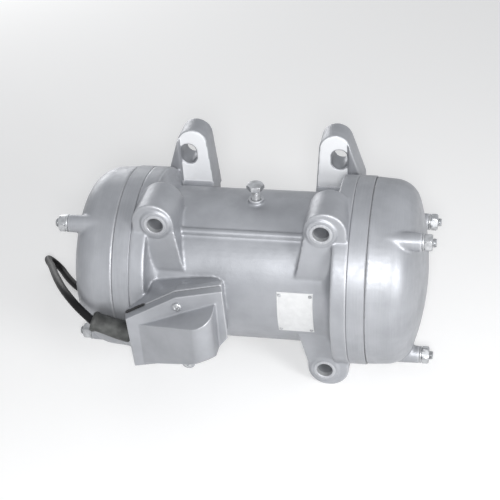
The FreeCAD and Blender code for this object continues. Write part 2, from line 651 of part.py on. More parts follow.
def terminal_lid():
    front = [V(x, LID_FRONT_Y, z) for x, z in LID_OUTLINE]
    back = [V(x, LID_FRONT_Y + LID_PLATE_T, z) for x, z in BOX_OUTLINE]
    plate = Part.makeLoft([Part.makePolygon(front + front[:1]),
                           Part.makePolygon(back + back[:1])], True, True)
    inner = inset(LID_OUTLINE, BOX_WALL - 2.0)
    shape = plate.fuse(hood(0.0)).cut(hood(4.0))
    shape = shape.cut(plate_y(inner, LID_FRONT_Y + 3.0, LID_FRONT_Y + LID_PLATE_T + 2.0))
    for x, y, z in LID_SCREWS:
        lug = rod(V(x, y, z), Y_AXIS, LID_LUG_R, LID_FRONT_Y + LID_PLATE_T - y)
        if y > LID_FRONT_Y:
            shape = shape.cut(rod(V(x, LID_FRONT_Y - 3, z), Y_AXIS, LID_LUG_R + 0.3,
                                  y - LID_FRONT_Y + 3))
        shape = shape.fuse(lug)
        shape = shape.cut(rod(V(x, y - 2, z), Y_AXIS, LID_SCREW_R + 0.3, LID_PLATE_T + 4.0))
    return shape.removeSplitter()


def terminal_gasket():
    shape = plate_y(inset(BOX_OUTLINE, GASKET_INSET), BOX_FACE_Y - GASKET_T, BOX_FACE_Y)
    shape = shape.cut(plate_y(inset(BOX_OUTLINE, BOX_WALL - 2.0), BOX_FACE_Y - 3, BOX_FACE_Y + 1))
    for x, _, z in LID_SCREWS:
        shape = shape.fuse(rod(V(x, BOX_FACE_Y - GASKET_T, z), Y_AXIS,
                               LID_LUG_R - GASKET_INSET, GASKET_T))
        shape = shape.cut(rod(V(x, BOX_FACE_Y - 3, z), Y_AXIS, LID_SCREW_R + 0.3, 6.0))
    return shape


def lid_screws():
    """Two pan-head screws."""
    screws = []
    for x, y, z in LID_SCREWS:
        head = rod(V(x, y - 1.5, z), Y_AXIS, LID_HEAD_R, 1.5)
        crown = Part.makeCone(LID_HEAD_R, LID_HEAD_R - 1.8, 1.6, V(x, y - 1.5, z), -Y_AXIS)
        shank = rod(V(x, y, z), Y_AXIS, LID_SCREW_R, LID_SCREW_TIP_Y - y)
        screws.append(shank.fuse(head).fuse(crown))
    return Part.Compound(screws)


def terminals():
    return [(x, z) for z in TERMINAL_Z for x in TERMINAL_X]


def terminal_board():
    x, z = BOARD_MID
    half_x, half_z = BOARD_SIZE[0] / 2, BOARD_SIZE[1] / 2
    front = BOARD_BACK_Y - BOARD_T
    shape = box(x - half_x, x + half_x, front, BOARD_BACK_Y, z - half_z, z + half_z)
    shape = shape.cut(rod(V(x, front - 1, z), Y_AXIS, 4.0, BOARD_T + 2))
    for x, z in BOARD_SCREWS:
        shape = shape.cut(rod(V(x, front - 1, z), Y_AXIS, BOARD_SCREW_R + 0.2, BOARD_T + 2))
    for x, z in terminals():
        shape = shape.cut(rod(V(x, front - 1, z), Y_AXIS, TERMINAL_R, BOARD_T))
    return shape


def board_screws():
    front = BOARD_BACK_Y - BOARD_T
    return Part.Compound([rod(V(x, front, z), Y_AXIS, BOARD_SCREW_R, 16.0)
                          .fuse(rod(V(x, front - 3, z), Y_AXIS, 3.5, 3.0))
                          for x, z in BOARD_SCREWS])


def terminal_studs():
    return Part.Compound([rod(V(x, BOARD_BACK_Y - 22, z), Y_AXIS, TERMINAL_R, 21.0)
                          for x, z in terminals()])


def terminal_nuts():
    nuts = []
    for x, z in terminals():
        nut = hexagon(V(x, BOARD_BACK_Y - BOARD_T, z), -Y_AXIS, 8.0, TERMINAL_NUT_T)
        nuts.append(nut.cut(rod(V(x, BOARD_BACK_Y - 20, z), Y_AXIS, TERMINAL_R, 20.0)))
    return Part.Compound(nuts)


def terminal_links():
    """Three brass links between the upper and lower studs, lying on their nuts."""
    links = []
    back = BOARD_BACK_Y - BOARD_T - TERMINAL_NUT_T
    for x in TERMINAL_X:
        link = box(x - 4, x + 4, back - 1.5, back, TERMINAL_Z[0] - 5, TERMINAL_Z[1] + 5)
        for z in TERMINAL_Z:
            link = link.cut(rod(V(x, back - 3, z), Y_AXIS, TERMINAL_R, 6.0))
        links.append(link)
    return Part.Compound(links)


# ---- cable entry -----------------------------------------------------------------------
def sleeve_path():
    return [TAIL_END, SLEEVE_ROOT, SLEEVE_MOUTH]


def cable_tail():
    """The sheathed end of the cable, from the sleeve's mouth into the terminal box."""
    return tube_along(sleeve_path(), CABLE_R, [40.0])[0]


def cable_sleeve():
    """Rubber sleeve: a plug held in the gland boss and a long tapered guard with a lip."""
    run = (SLEEVE_MOUTH - SLEEVE_ROOT).normalize()
    length = (SLEEVE_MOUTH - SLEEVE_ROOT).Length
    plug = rod(SLEEVE_ROOT + V(18.0, 0, 0), -X_AXIS, PLUG_R, 18.0)
    knee = Part.makeSphere(PLUG_R, SLEEVE_ROOT)
    collar = Part.makeCone(SLEEVE_R - 0.4, SLEEVE_R, 6.0, SLEEVE_ROOT, -X_AXIS)
    guard = Part.makeCone(SLEEVE_R, SLEEVE_R - 1.2, length - 8.0, SLEEVE_ROOT + run * 4.0, run)
    lip = rod(SLEEVE_MOUTH - run * 4.5, run, SLEEVE_R + 0.3, 4.5)
    shape = plug.fuse(knee).fuse(collar).fuse(guard).fuse(lip)
    bore = [TAIL_END + X_AXIS * 10, SLEEVE_ROOT, SLEEVE_MOUTH + run * 3]
    return shape.cut(tube_along(bore, CABLE_R, [40.0])[0])


def supply_cable():
    """The free cable from the sleeve to its coil, on the largest bends its runs allow."""
    points = CABLE_ROUTE
    radii = []
    for i in range(1, len(points) - 1):
        before, after = points[i] - points[i - 1], points[i + 1] - points[i]
        turn = before.getAngle(after)
        radii.append(0.45 * min(before.Length, after.Length) / math.tan(turn / 2))
    shape, path = tube_along(points, CABLE_R, radii)
    print("cable bend radii", [round(r, 1) for r in radii])
    print("cable run lengths", [round((b - a).Length, 1) for a, b in zip(points, points[1:])])
    section = math.pi * CABLE_R ** 2
    print("cable length", round(path.Length, 1), "volume ratio",
          round(shape.Volume / (section * path.Length), 4))
    return shape


def cable_coil():
    """Outer shape of the stored coil: four turns, two wide and two high."""
    outer = rod(COIL_CENTRE, Z_AXIS, COIL_R + 2 * CABLE_R, 4 * CABLE_R)
    return outer.cut(rod(COIL_CENTRE, Z_AXIS, COIL_R - 2 * CABLE_R, 4 * CABLE_R))


def cable_cores():
    """Three bare core ends that stand out of the cut end of the sheath, on top of the coil."""
    at = COIL_CENTRE + V(COIL_R + CABLE_R, 0, 4 * CABLE_R)
    return Part.Compound([rod(at + V(dx, 0, 1.3 + dz), Y_AXIS, 1.25, 26.0)
                          for dx, dz in ((-1.5, 0.0), (1.5, 0.0), (0.0, 2.7))])


# ---- bolt on top, earth screw, plate -------------------------------------------------------
def top_bolt():
    """Hexagon bolt through the barrel: it locks the stator core."""
    bottom = CORE_R + 0.2
    shank = rod(TOP_BOLT_AT + Z_AXIS * bottom, Z_AXIS, TOP_BOLT_R, TOP_HEAD_Z - bottom)
    return shank.fuse(hexagon(TOP_BOLT_AT + Z_AXIS * TOP_HEAD_Z, Z_AXIS, 17.0, 7.0))


def earth_screw():
    """Earth screw and washer inside the terminal box."""
    at = V(EARTH_AT[0], BOARD_BACK_Y, EARTH_AT[1])
    shape = rod(at - Y_AXIS * 6, Y_AXIS, EARTH_R, 14.0).fuse(rod(at, -Y_AXIS, 6.5, 1.5))
    return shape.fuse(hexagon(at - Y_AXIS * 1.5, -Y_AXIS, 10.0, 4.0))


def plate_rivets():
    """Four small rivets, each a button head on a shank that goes into the barrel."""
    rivets = []
    for x in (PLATE_X[0] + 3.0, PLATE_X[1] - 3.0):
        for angle in (PLATE_ANGLE[0] + 2.5, PLATE_ANGLE[1] - 2.5):
            out = around(angle, 1.0)
            at = around(angle, BODY_R + PLATE_T, x)
            rivets.append(rod(at - out * 5.0, out, RIVET_R, 5.0).fuse(
                Part.makeCone(RIVET_R * 1.7, RIVET_R, 0.9, at, out)))
    return Part.Compound(rivets)


def name_plate():
    """Plain curved plate on the barrel; it carries nothing."""
    x0, x1 = PLATE_X
    shell = ring(x0, x1, BODY_R, BODY_R + PLATE_T)
    a0, a1 = PLATE_ANGLE
    sector = [V(x0, 0, 0), around(a0, 120, x0), around((a0 + a1) / 2, 120, x0), around(a1, 120, x0)]
    plate = shell.common(Part.Face(Part.makePolygon(sector + sector[:1])).extrude(V(x1 - x0, 0, 0)))
    for rivet in plate_rivets().Solids:
        plate = plate.cut(rivet)
    return plate


# ---- write every piece ------------------------------------------------------------------------
def keep_pair(name, shape):
    right, left = both_ends(shape)
    keep(name + "_right", right)
    keep(name + "_left", left)


keep("stator_housing", housing())
keep_pair("end_shield", end_shield())
keep_pair("end_cover", end_cover())
keep_pair("cover_gasket", cover_gasket())
studs, washers, nuts = cover_fasteners()
keep_pair("cover_studs", studs)
keep_pair("cover_washers", washers)
keep_pair("cover_nuts", nuts)
keep("stator_core", stator_core())
keep("stator_winding", stator_winding())
keep("top_bolt", top_bolt())
keep("name_plate", name_plate())
keep("plate_rivets", plate_rivets())

keep("rotor_shaft", shaft())
keep("rotor_core", rotor_core())
keep("rotor_cage", rotor_cage())
outer_race, inner_race = bearing_rings()
keep_pair("bearing_outer_ring", outer_race)
keep_pair("bearing_inner_ring", inner_race)
keep_pair("bearing_rollers", rollers())
keep_pair("roller_cage", roller_cage())
keep_pair("bearing_cap", bearing_cap())
keep_pair("cap_screws", cap_screws())
keep_pair("weight_spacer", ring(128.0, 139.0, SHAFT_R, 27.0))
keep_pair("inner_weight", weight(*WEIGHT_X[0]))
keep_pair("outer_weight", weight(*WEIGHT_X[1]))
keep("weight_keys", Part.Compound(list(keys())))
keep("pinch_bolts", pinch_bolts())
keep_pair("shaft_nut", shaft_nut())

keep("terminal_gasket", terminal_gasket())
keep("terminal_lid", terminal_lid())
keep("lid_screws", lid_screws())
keep("terminal_board", terminal_board())
keep("board_screws", board_screws())
keep("terminal_studs", terminal_studs())
keep("terminal_nuts", terminal_nuts())
keep("terminal_links", terminal_links())
keep("earth_screw", earth_screw())
keep("cable_sleeve", cable_sleeve())
keep("cable_tail", cable_tail())
keep("supply_cable", supply_cable())
keep("cable_coil", cable_coil())
keep("cable_cores", cable_cores())
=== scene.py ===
import math

import bpy
import numpy as np
from mathutils import Matrix


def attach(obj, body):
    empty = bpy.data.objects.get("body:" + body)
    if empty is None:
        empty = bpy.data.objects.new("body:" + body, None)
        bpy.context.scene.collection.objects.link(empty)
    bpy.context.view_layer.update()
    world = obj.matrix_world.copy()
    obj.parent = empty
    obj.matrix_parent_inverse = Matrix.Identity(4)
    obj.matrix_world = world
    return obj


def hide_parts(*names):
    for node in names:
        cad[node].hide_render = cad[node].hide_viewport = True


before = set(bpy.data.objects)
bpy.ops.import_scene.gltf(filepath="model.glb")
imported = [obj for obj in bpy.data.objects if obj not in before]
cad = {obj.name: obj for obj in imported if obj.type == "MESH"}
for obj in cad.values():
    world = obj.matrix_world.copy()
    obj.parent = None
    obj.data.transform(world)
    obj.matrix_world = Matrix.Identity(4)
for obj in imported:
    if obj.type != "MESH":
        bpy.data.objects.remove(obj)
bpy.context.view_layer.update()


# ---- housing: the main casting --------------------------------------------------------------
# The barrel, its feet, bolt ears and the base of the terminal box are one sand casting. The
# mould rounds its edges, the seats of the bolts are milled, and all of it is sprayed silver.
SHAFT_AT = np.array((0.0, 0.0255, 0.113))   # middle of the shaft, from which places are counted
HOUSING_GRID = 0.00135      # metres between the points of the cast skin
HOUSING_RELAX = 5           # rounds of relaxing, which make its edges rounder
HOUSING_KEEP = 0.40         # share of the faces that thinning leaves
MERGE_WITHIN = 1e-6
RELAX_STEP = 0.6
RELAX_BACK = -0.62
PAINT = (0.325, 0.334, 0.356, 1.0)
PAINT_LIGHT = (0.395, 0.405, 0.43, 1.0)
# lighter tone for the rings of a lathe, and for sharp edges: worn paint and a painted highlight
PAINT_WORN_AND_HIGHLIGHT = (0.60, 0.61, 0.625, 1.0)
# darker tone painted into hollows as shade
PAINT_HOLLOW_SHADE = (0.17, 0.172, 0.175, 1.0)
# milled seats, near white: lighter bare metal and a painted glint of the lamp
PAINT_MILLED_AND_GLINT = (0.90, 0.91, 0.93, 1.0)
PAINT_METALLIC = 0.45       # share of metal flake in the paint
PAINT_ROUGHNESS = 0.42
MILLED_METALLIC = 0.1
EDGE_WEAR_AND_HIGHLIGHT = (0.515, 0.58)      # Pointiness over which sharp edges turn lighter: worn paint and a painted highlight
EDGE_LIGHTER_SHARE = 0.85
SHADED_HOLLOWS = (0.40, 0.48)    # Pointiness over which hollows turn from painted shade to plain paint
HOLLOW_SHADE_SHARE = 0.55
NOISE_MIDDLE = (0.35, 0.65)     # most values of a noise lie between these
NOISE_WIDE = (0.3, 0.7)         # and nearly all between these
RING_SHAPE = (14.0, 0.5, 0.5)   # squeezes a noise along the shaft into rings
RING_LINES = (0.4, 0.7)         # values of that noise over which paint turns to bright rings
RING_DEPTH = 0.0001
FOOT_SEAT_AT = 0.1097       # y of the milled seats of the feet
FOOT_SEAT_FADE = (0.0006, 0.0011)   # distance from there over which bare metal turns to paint
FOOT_SEAT_FACING = (-0.97, -0.9)    # y of the normal over which it does the same


def new_material(name, color, metallic, roughness):
    """A material whose one shader is ready for its colour, roughness and bump nodes."""
    material = bpy.data.materials.new(name)
    material.use_nodes = True
    shader = material.node_tree.nodes["Principled BSDF"]
    shader.inputs["Base Color"].default_value = color
    shader.inputs["Metallic"].default_value = metallic
    shader.inputs["Roughness"].default_value = roughness
    return material, material.node_tree, shader


def add_node(tree, kind, **values):
    """A node of that kind; a value named after a socket is set on it, any other on the node."""
    node = tree.nodes.new("ShaderNode" + kind)
    for key, value in values.items():
        socket = node.inputs.get(key.replace("_", " "))
        if socket is not None:
            socket.default_value = value
        else:
            setattr(node, key, value)
    return node


def noise(tree, scale, detail=3.0, stretch=(1.0, 1.0, 1.0)):
    """Noise over the object's own coordinates, its grains 1/scale metres across."""
    where = add_node(tree, "TexCoord")
    mapping = add_node(tree, "Mapping", Scale=stretch)
    grains = add_node(tree, "TexNoise", Scale=scale, Detail=detail)
    tree.links.new(where.outputs["Object"], mapping.inputs["Vector"])
    tree.links.new(mapping.outputs["Vector"], grains.inputs["Vector"])
    return grains.outputs["Fac"]


def remap(tree, value, low, high, to_low, to_high):
    """Value from low to high, spread linearly over to_low to to_high."""
    node = add_node(tree, "MapRange")
    node.inputs["From Min"].default_value = low
    node.inputs["From Max"].default_value = high
    node.inputs["To Min"].default_value = to_low
    node.inputs["To Max"].default_value = to_high
    tree.links.new(value, node.inputs["Value"])
    return node.outputs["Result"]


def combine(tree, operation, first, second):
    """One arithmetic step on a socket and a socket or number."""
    node = add_node(tree, "Math", operation=operation)
    tree.links.new(first, node.inputs[0])
    if isinstance(second, bpy.types.NodeSocket):
        tree.links.new(second, node.inputs[1])
    else:
        node.inputs[1].default_value = second
    return node.outputs[0]


def mix_colors(tree, factor, first, second):
    """Colour first where factor is 0, second where it is 1; each a colour or a socket."""
    node = add_node(tree, "Mix", data_type="RGBA")
    tree.links.new(factor, node.inputs[0])
    for socket, color in ((node.inputs[6], first), (node.inputs[7], second)):
        if isinstance(color, bpy.types.NodeSocket):
            tree.links.new(color, socket)
        else:
            socket.default_value = color
    return node.outputs[2]


def add_bump(tree, shader, layers):
    """Stacks bumps, each given as (height socket, depth in metres, strength)."""
    before = None
    for height, depth, strength in layers:
        bump = add_node(tree, "Bump", Distance=depth, Strength=strength)
        tree.links.new(height, bump.inputs["Height"])
        if before is not None:
            tree.links.new(before, bump.inputs["Normal"])
        before = bump.outputs["Normal"]
    tree.links.new(before, shader.inputs["Normal"])


def milled_seats(tree):
    """1 on the milled seats of the feet, which lie at one y and face forwards; 0 elsewhere."""
    place = add_node(tree, "SeparateXYZ")
    tree.links.new(add_node(tree, "TexCoord").outputs["Object"], place.inputs[0])
    facing = add_node(tree, "SeparateXYZ")
    tree.links.new(add_node(tree, "NewGeometry").outputs["Normal"], facing.inputs[0])
    offset = combine(tree, "SUBTRACT", place.outputs["Y"], FOOT_SEAT_AT)
    near = remap(tree, combine(tree, "ABSOLUTE", offset, 0.0), *FOOT_SEAT_FADE, 1.0, 0.0)
    square = remap(tree, facing.outputs["Y"], *FOOT_SEAT_FACING, 1.0, 0.0)
    return combine(tree, "MULTIPLY", near, square)


def paint_material(name, grain_depth, turned=0.0, seats=False, wear_and_painted_light=True):
    """Sprayed silver grey over cast grain, with a cloudy tone. Above 0, turned lets the rings of a
    lathe show through by that share; seats bares the milled seats, with a painted glint; the last
    flag makes edges lighter, worn paint and a painted highlight, and hollows darker, painted shade."""
    material, tree, shader = new_material(name, PAINT, PAINT_METALLIC, PAINT_ROUGHNESS)
    cloud = remap(tree, noise(tree, scale=26.0, detail=5.0), *NOISE_MIDDLE, 0.0, 1.0)
    tone = mix_colors(tree, cloud, PAINT, PAINT_LIGHT)
    bumps = [(noise(tree, scale=1100.0, detail=3.0), grain_depth, 0.5),
             (noise(tree, scale=150.0, detail=2.0), grain_depth * 2, 0.3)]
    if turned:
        rings = noise(tree, scale=60.0, detail=4.0, stretch=RING_SHAPE)
        bright = remap(tree, rings, *RING_LINES, 0.0, turned)
        tone = mix_colors(tree, bright, tone, PAINT_WORN_AND_HIGHLIGHT)
        bumps.append((rings, RING_DEPTH, 0.3))
    if wear_and_painted_light:
        pointiness = add_node(tree, "NewGeometry").outputs["Pointiness"]
        # Sharp edges lighter: partly worn paint, partly a painted highlight.
        edge = remap(tree, pointiness, *EDGE_WEAR_AND_HIGHLIGHT, 0.0, EDGE_LIGHTER_SHARE)
        tone = mix_colors(tree, edge, tone, PAINT_WORN_AND_HIGHLIGHT)
        # Hollows darker: painted shade.
        hollow = remap(tree, pointiness, *SHADED_HOLLOWS, HOLLOW_SHADE_SHARE, 0.0)
        tone = mix_colors(tree, hollow, tone, PAINT_HOLLOW_SHADE)
    if seats:
        # The milled seats are painted near white: bare metal, and a painted glint on faces that look
        # forwards.
        milled = milled_seats(tree)
        tone = mix_colors(tree, milled, tone, PAINT_MILLED_AND_GLINT)
        metal = remap(tree, milled, 0.0, 1.0, PAINT_METALLIC, MILLED_METALLIC)
        tree.links.new(metal, shader.inputs["Metallic"])
    tree.links.new(tone, shader.inputs["Base Color"])
    rough = remap(tree, noise(tree, scale=160.0, detail=3.0), *NOISE_WIDE,
                  PAINT_ROUGHNESS - 0.04, PAINT_ROUGHNESS + 0.08)
    tree.links.new(rough, shader.inputs["Roughness"])
    add_bump(tree, shader, bumps)
    return material


def smooth_points(points, edges, rounds):
    """Relaxes a mesh without shrinking it: each round moves every point by RELAX_STEP of the way
    to the mean of its neighbours, then by RELAX_BACK, a little more, away from it."""
    count = np.bincount(edges.ravel(), minlength=len(points))[:, None]
    for _ in range(rounds):
        for share in (RELAX_STEP, RELAX_BACK):
            total = np.zeros_like(points)
            for axis in range(3):
                total[:, axis] = np.bincount(edges[:, 0], points[edges[:, 1], axis], len(points))
                total[:, axis] += np.bincount(edges[:, 1], points[edges[:, 0], axis], len(points))
            points = points + share * (total / np.maximum(count, 1) - points)
    return points


def settle(piece):
    """Makes a piece's modifiers part of its mesh."""
    shown = piece.evaluated_get(bpy.context.evaluated_depsgraph_get())
    done = bpy.data.meshes.new_from_object(shown)
    old = piece.data
    piece.modifiers.clear()
    piece.data = done
    bpy.data.meshes.remove(old)
    return done


def cast_skin(name, node, grid, rounds, keep=1.0):
    """The CAD node's surface as a mould would leave it: merged, laid out again on an even grid,
    and relaxed, so that its edges and corners turn round; then thinned where it is flat."""
    piece = bpy.data.objects.new(name, cad[node].data.copy())
    bpy.context.collection.objects.link(piece)
    weld = piece.modifiers.new("merge", "WELD")
    weld.merge_threshold = MERGE_WITHIN
    remesh = piece.modifiers.new("grid", "REMESH")
    remesh.mode = "VOXEL"
    remesh.voxel_size = grid
    skin = settle(piece)
    points = np.empty(len(skin.vertices) * 3)
    skin.vertices.foreach_get("co", points)
    edges = np.empty(len(skin.edges) * 2, dtype=np.int64)
    skin.edges.foreach_get("vertices", edges)
    points = smooth_points(points.reshape(-1, 3), edges.reshape(-1, 2), rounds)
    skin.vertices.foreach_set("co", points.ravel())
    skin.update()
    if keep < 1.0:
        thin = piece.modifiers.new("thin", "DECIMATE")
        thin.ratio = keep
        skin = settle(piece)
    skin.polygons.foreach_set("use_smooth", np.ones(len(skin.polygons), dtype=bool))
    return piece


def finish_piece(piece, material, body, replaced=()):
    """Gives a new piece its material and its body, and hides the CAD nodes it stands for."""
    piece.data.materials.clear()
    piece.data.materials.append(material)
    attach(piece, body)
    if replaced:
        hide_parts(*replaced)


cast_paint = paint_material("silver grey paint on casting", grain_depth=0.0002, seats=True)
housing = cast_skin("housing_casting", "stator_housing", HOUSING_GRID, HOUSING_RELAX, HOUSING_KEEP)
finish_piece(housing, cast_paint, "frame", ["stator_housing"])


# ---- rims of the ear holes -------------------------------------------------------------------
# Each front ear of the casting has a narrow raised rim round its bolt hole, turned bright and
# sprayed thinly. The fourth ear, behind the terminal box, is the short one.
EAR_HOLES = (               # middles of the holes in the faces of the ears, from the shaft
    (-0.0882, -0.0705, 0.0903), (0.0882, -0.0705, 0.0903),
    (0.0882, -0.0705, -0.0903), (-0.0882, -0.048, -0.0903),
)
RIM_INNER = 0.0088
RIM_OUTER = 0.0122
RIM_PROUD = 0.0009          # how far the rim stands out of the ear's face
RIM_DEEP = 0.006            # and how far it runs into the hole
RIM_COLUMNS = 56
RIM_PROFILE = ((RIM_INNER, RIM_DEEP), (RIM_INNER, -RIM_PROUD * 0.4),
               (RIM_INNER + 0.0004, -RIM_PROUD * 0.9), (RIM_INNER + 0.0009, -RIM_PROUD),
               (RIM_OUTER - 0.0008, -RIM_PROUD), (RIM_OUTER - 0.0002, -RIM_PROUD * 0.7),
               (RIM_OUTER, 0.0), (RIM_OUTER, RIM_DEEP * 0.3))


def across_axis(axis):
    """Two directions square to the axis and to each other."""
    aside = np.cross(axis, (0.0, 0.0, 1.0) if abs(axis[2]) < 0.9 else (0.0, 1.0, 0.0))
    aside = aside / np.linalg.norm(aside)
    return aside, np.cross(axis, aside)


def turned_grid(centre, axis, radius, height, spin=0.0):
    """Point = centre + axis * height + radius * (aside * cos(angle) + upward * sin(angle)), where
    radius and height are given over rows, the profile, and columns, the angle."""
    axis = np.asarray(axis, dtype=float)
    aside, upward = across_axis(axis)
    columns = radius.shape[1]
    angle = (spin + 2 * np.pi * np.arange(columns) / columns)[None, :, None]
    ray = np.cos(angle) * aside + np.sin(angle) * upward
    return np.asarray(centre) + height[..., None] * axis + radius[..., None] * ray


def spread(profile, columns):
    """The radius and height columns of a profile, repeated for every angle."""
    table = np.asarray(profile, dtype=float)
    return np.repeat(table[:, :1], columns, axis=1), np.repeat(table[:, 1:2], columns, axis=1)


def shell_piece(name, grids, poles=True, crease=35.0):
    """One mesh from closed shells. A shell is a grid whose last column meets its first. Its end
    rows close on their own middles, or without poles on each other. Faces are turned so that
    the volume they enclose is positive. Edges sharper than crease, in degrees, stay sharp."""
    points, faces, start = [], [], 0
    for grid in grids:
        rows, columns = grid.shape[:2]
        row = np.arange(rows - 1 if poles else rows)[:, None]
        column = np.arange(columns)[None, :]
        beside = (column + 1) % columns
        below = (row + 1) % rows
        corners = [row * columns + column, row * columns + beside,
                   below * columns + beside, below * columns + column]
        quads = np.stack(np.broadcast_arrays(*corners), axis=-1).reshape(-1, 4)
        flat = grid.reshape(-1, 3)
        middle = flat.mean(axis=0)
        groups = [quads]
        triangles = [quads[:, [0, 1, 2]], quads[:, [0, 2, 3]]]
        if poles:
            flat = np.vstack([flat, grid[0].mean(axis=0), grid[-1].mean(axis=0)])
            first_pole, last_pole = rows * columns, rows * columns + 1
            turn, step = column[0], beside[0]
            last_turn, last_step = turn + (rows - 1) * columns, step + (rows - 1) * columns
            caps = np.vstack([np.column_stack([np.full(columns, first_pole), step, turn]),
                              np.column_stack([np.full(columns, last_pole), last_turn, last_step])])
            groups.append(caps)
            triangles.append(caps)
        a, b, c = (flat[np.vstack(triangles)[:, k]] - middle for k in range(3))
        volume = np.einsum("ij,ij->", a, np.cross(b, c))
        for group in groups:
            ordered = group if volume > 0 else group[:, ::-1]
            faces.extend((ordered + start).tolist())
        points.append(flat)
        start += len(flat)
    mesh = bpy.data.meshes.new(name)
    mesh.from_pydata(np.vstack(points).tolist(), [], faces)
    mesh.polygons.foreach_set("use_smooth", np.ones(len(mesh.polygons), dtype=bool))
    mesh.set_sharp_from_angle(angle=math.radians(crease))
    piece = bpy.data.objects.new(name, mesh)
    bpy.context.collection.objects.link(piece)
    return piece


rims = [turned_grid(SHAFT_AT + place, (0.0, 1.0, 0.0), *spread(RIM_PROFILE, RIM_COLUMNS))
        for place in EAR_HOLES]
rim_paint = paint_material("thin paint on turned rims", grain_depth=0.0001, turned=0.5)
ear_rims = shell_piece("ear_hole_rims", rims, poles=False)
finish_piece(ear_rims, rim_paint, "frame")


# ---- end shields ---------------------------------------------------------------------------
# Between the housing and each dome shows the band of a cast bearing shield, clamped there and
# painted with the rest. Its rim is turned, so the paint shows the fine rings of the lathe.
def finish_node(names, material):
    """Puts one material on CAD nodes that keep their own shape."""
    for name in names:
        node = cad[name]
        node.data.materials.clear()
        node.data.materials.append(material)


def both(name):
    """The node's name at the right and at the left end."""
    return [name + "_right", name + "_left"]


band_paint = paint_material("silver grey paint on turned band", grain_depth=0.0001, turned=0.12,
                            wear_and_painted_light=False)
finish_node(both("end_shield"), band_paint)


# ---- domed end covers -----------------------------------------------------------------------
# Each cover is a thin cast dome that closes in the eccentric weights. It is held by three studs,
# which pass through long bosses that blend into the dome with a wide fillet.
COVER_GRID = 0.0015
COVER_RELAX = 14
dome_paint = paint_material("silver grey paint on domes", grain_depth=0.00016, turned=0.09)
for end in ("right", "left"):
    cover = cast_skin("dome_" + end, "end_cover_" + end, COVER_GRID, COVER_RELAX)
    finish_piece(cover, dome_paint, "frame", ["end_cover_" + end])


# ---- gaskets ---------------------------------------------------------------------------------
# Rubber sheet cut to shape, clamped between the covers and the shields and under the lid of the
# terminal box. Its edge is sprayed over with the castings, and shows as a thin darker line.
GASKET_EDGE = (0.27, 0.275, 0.285, 1.0)
DUST_PATCHES = (0.42, 0.68)     # values of a noise over which clean rubber turns to dusty


def rubber_material(name, color, grain, depth, roughness=0.6, pale=2.2):
    """Rubber or moulded plastic: fine grain of that scale and depth, in patches up to pale times
    as light from dust."""
    material, tree, shader = new_material(name, color, metallic=0.0, roughness=roughness)
    dusty = tuple(min(1.0, pale * share) for share in color[:3]) + (1.0,)
    dust = remap(tree, noise(tree, scale=45.0, detail=5.0), *DUST_PATCHES, 0.0, 1.0)
    tree.links.new(mix_colors(tree, dust, color, dusty), shader.inputs["Base Color"])
    add_bump(tree, shader, [(noise(tree, scale=grain, detail=3.0), depth, 0.6)])
    return material


gasket_sheet = rubber_material("sprayed gasket edge", GASKET_EDGE, grain=600.0, depth=0.0002,
                               roughness=0.5, pale=1.25)
finish_node(both("cover_gasket") + ["terminal_gasket"], gasket_sheet)


# ---- studs, washers and nuts of the covers ---------------------------------------------------
# Three long zinc-plated steel studs with rolled threads hold each cover, each with a round washer
# and a hexagon nut. They were sprayed with the motor, so only their edges and threads shine.
STUD_CIRCLE = 0.0926
STUD_ANGLES = (35.0, 155.0, 275.0)      # degrees from straight up, towards the front
STUD_R = 0.005
STUD_X = (0.102, 0.2055)    # root and tip, from the middle of the motor
STUD_THREAD = 0.020
ROD_COLUMNS = 28
ROD_CHAMFER = 0.0009
THREAD_PITCH = 0.0015
THREAD_DEPTH = 0.0008
THREAD_ROWS = 8             # rows of points over one pitch
WASHER_X = 0.191
WASHER_R = 0.0096
WASHER_T = 0.002
WASHER_PLAY = 0.0002
WASHER_COLUMNS = 40
WASHER_PROFILE = ((STUD_R + WASHER_PLAY, 0.0), (WASHER_R - 0.0003, 0.0), (WASHER_R, 0.0004),
                  (WASHER_R, WASHER_T - 0.0005), (WASHER_R - 0.0004, WASHER_T),
                  (STUD_R + WASHER_PLAY, WASHER_T))
NUT_FLATS = 0.017
NUT_H = 0.0084
NUT_SPINS = (0.35, 0.75, 1.15)      # each nut came to rest at its own angle
HEX_COLUMNS = 72
STEEL_SPRAYED = (0.56, 0.57, 0.585, 1.0)


def plated_material(name, color, roughness, metallic=1.0, shade=0.66):
    """Dull metal, bare, plated or thinly sprayed: fine grain, and a cloudy tone that falls to
    shade times the colour."""
    material, tree, shader = new_material(name, color, metallic, roughness)
    dark = tuple(shade * share for share in color[:3]) + (1.0,)
    cloud = remap(tree, noise(tree, scale=140.0, detail=4.0), *NOISE_MIDDLE, 0.0, 1.0)
    tone = mix_colors(tree, cloud, dark, color)
    tree.links.new(tone, shader.inputs["Base Color"])
    rough = remap(tree, noise(tree, scale=420.0, detail=2.0), *NOISE_WIDE,
                  roughness - 0.08, roughness + 0.1)
    tree.links.new(rough, shader.inputs["Roughness"])
    add_bump(tree, shader, [(noise(tree, scale=1500.0, detail=2.0), 0.0001, 0.3)])
    return material


def hexagon_radius(flats, columns):
    """Distance from the axis to a hexagon's side at each angle: flats / 2 over the cosine of the
    angle from the middle of that side."""
    angle = 2 * np.pi * np.arange(columns) / columns
    return flats / 2 / np.cos(angle % (np.pi / 3) - np.pi / 6)


def hexagon_grid(centre, axis, flats, profile, spin=0.0):
    """A turned profile cut by a hexagon: at each point the radius is the smaller of the two."""
    radius, height = spread(profile, HEX_COLUMNS)
    radius = np.minimum(radius, hexagon_radius(flats, HEX_COLUMNS)[None, :])
    return turned_grid(centre, axis, radius, height, spin)


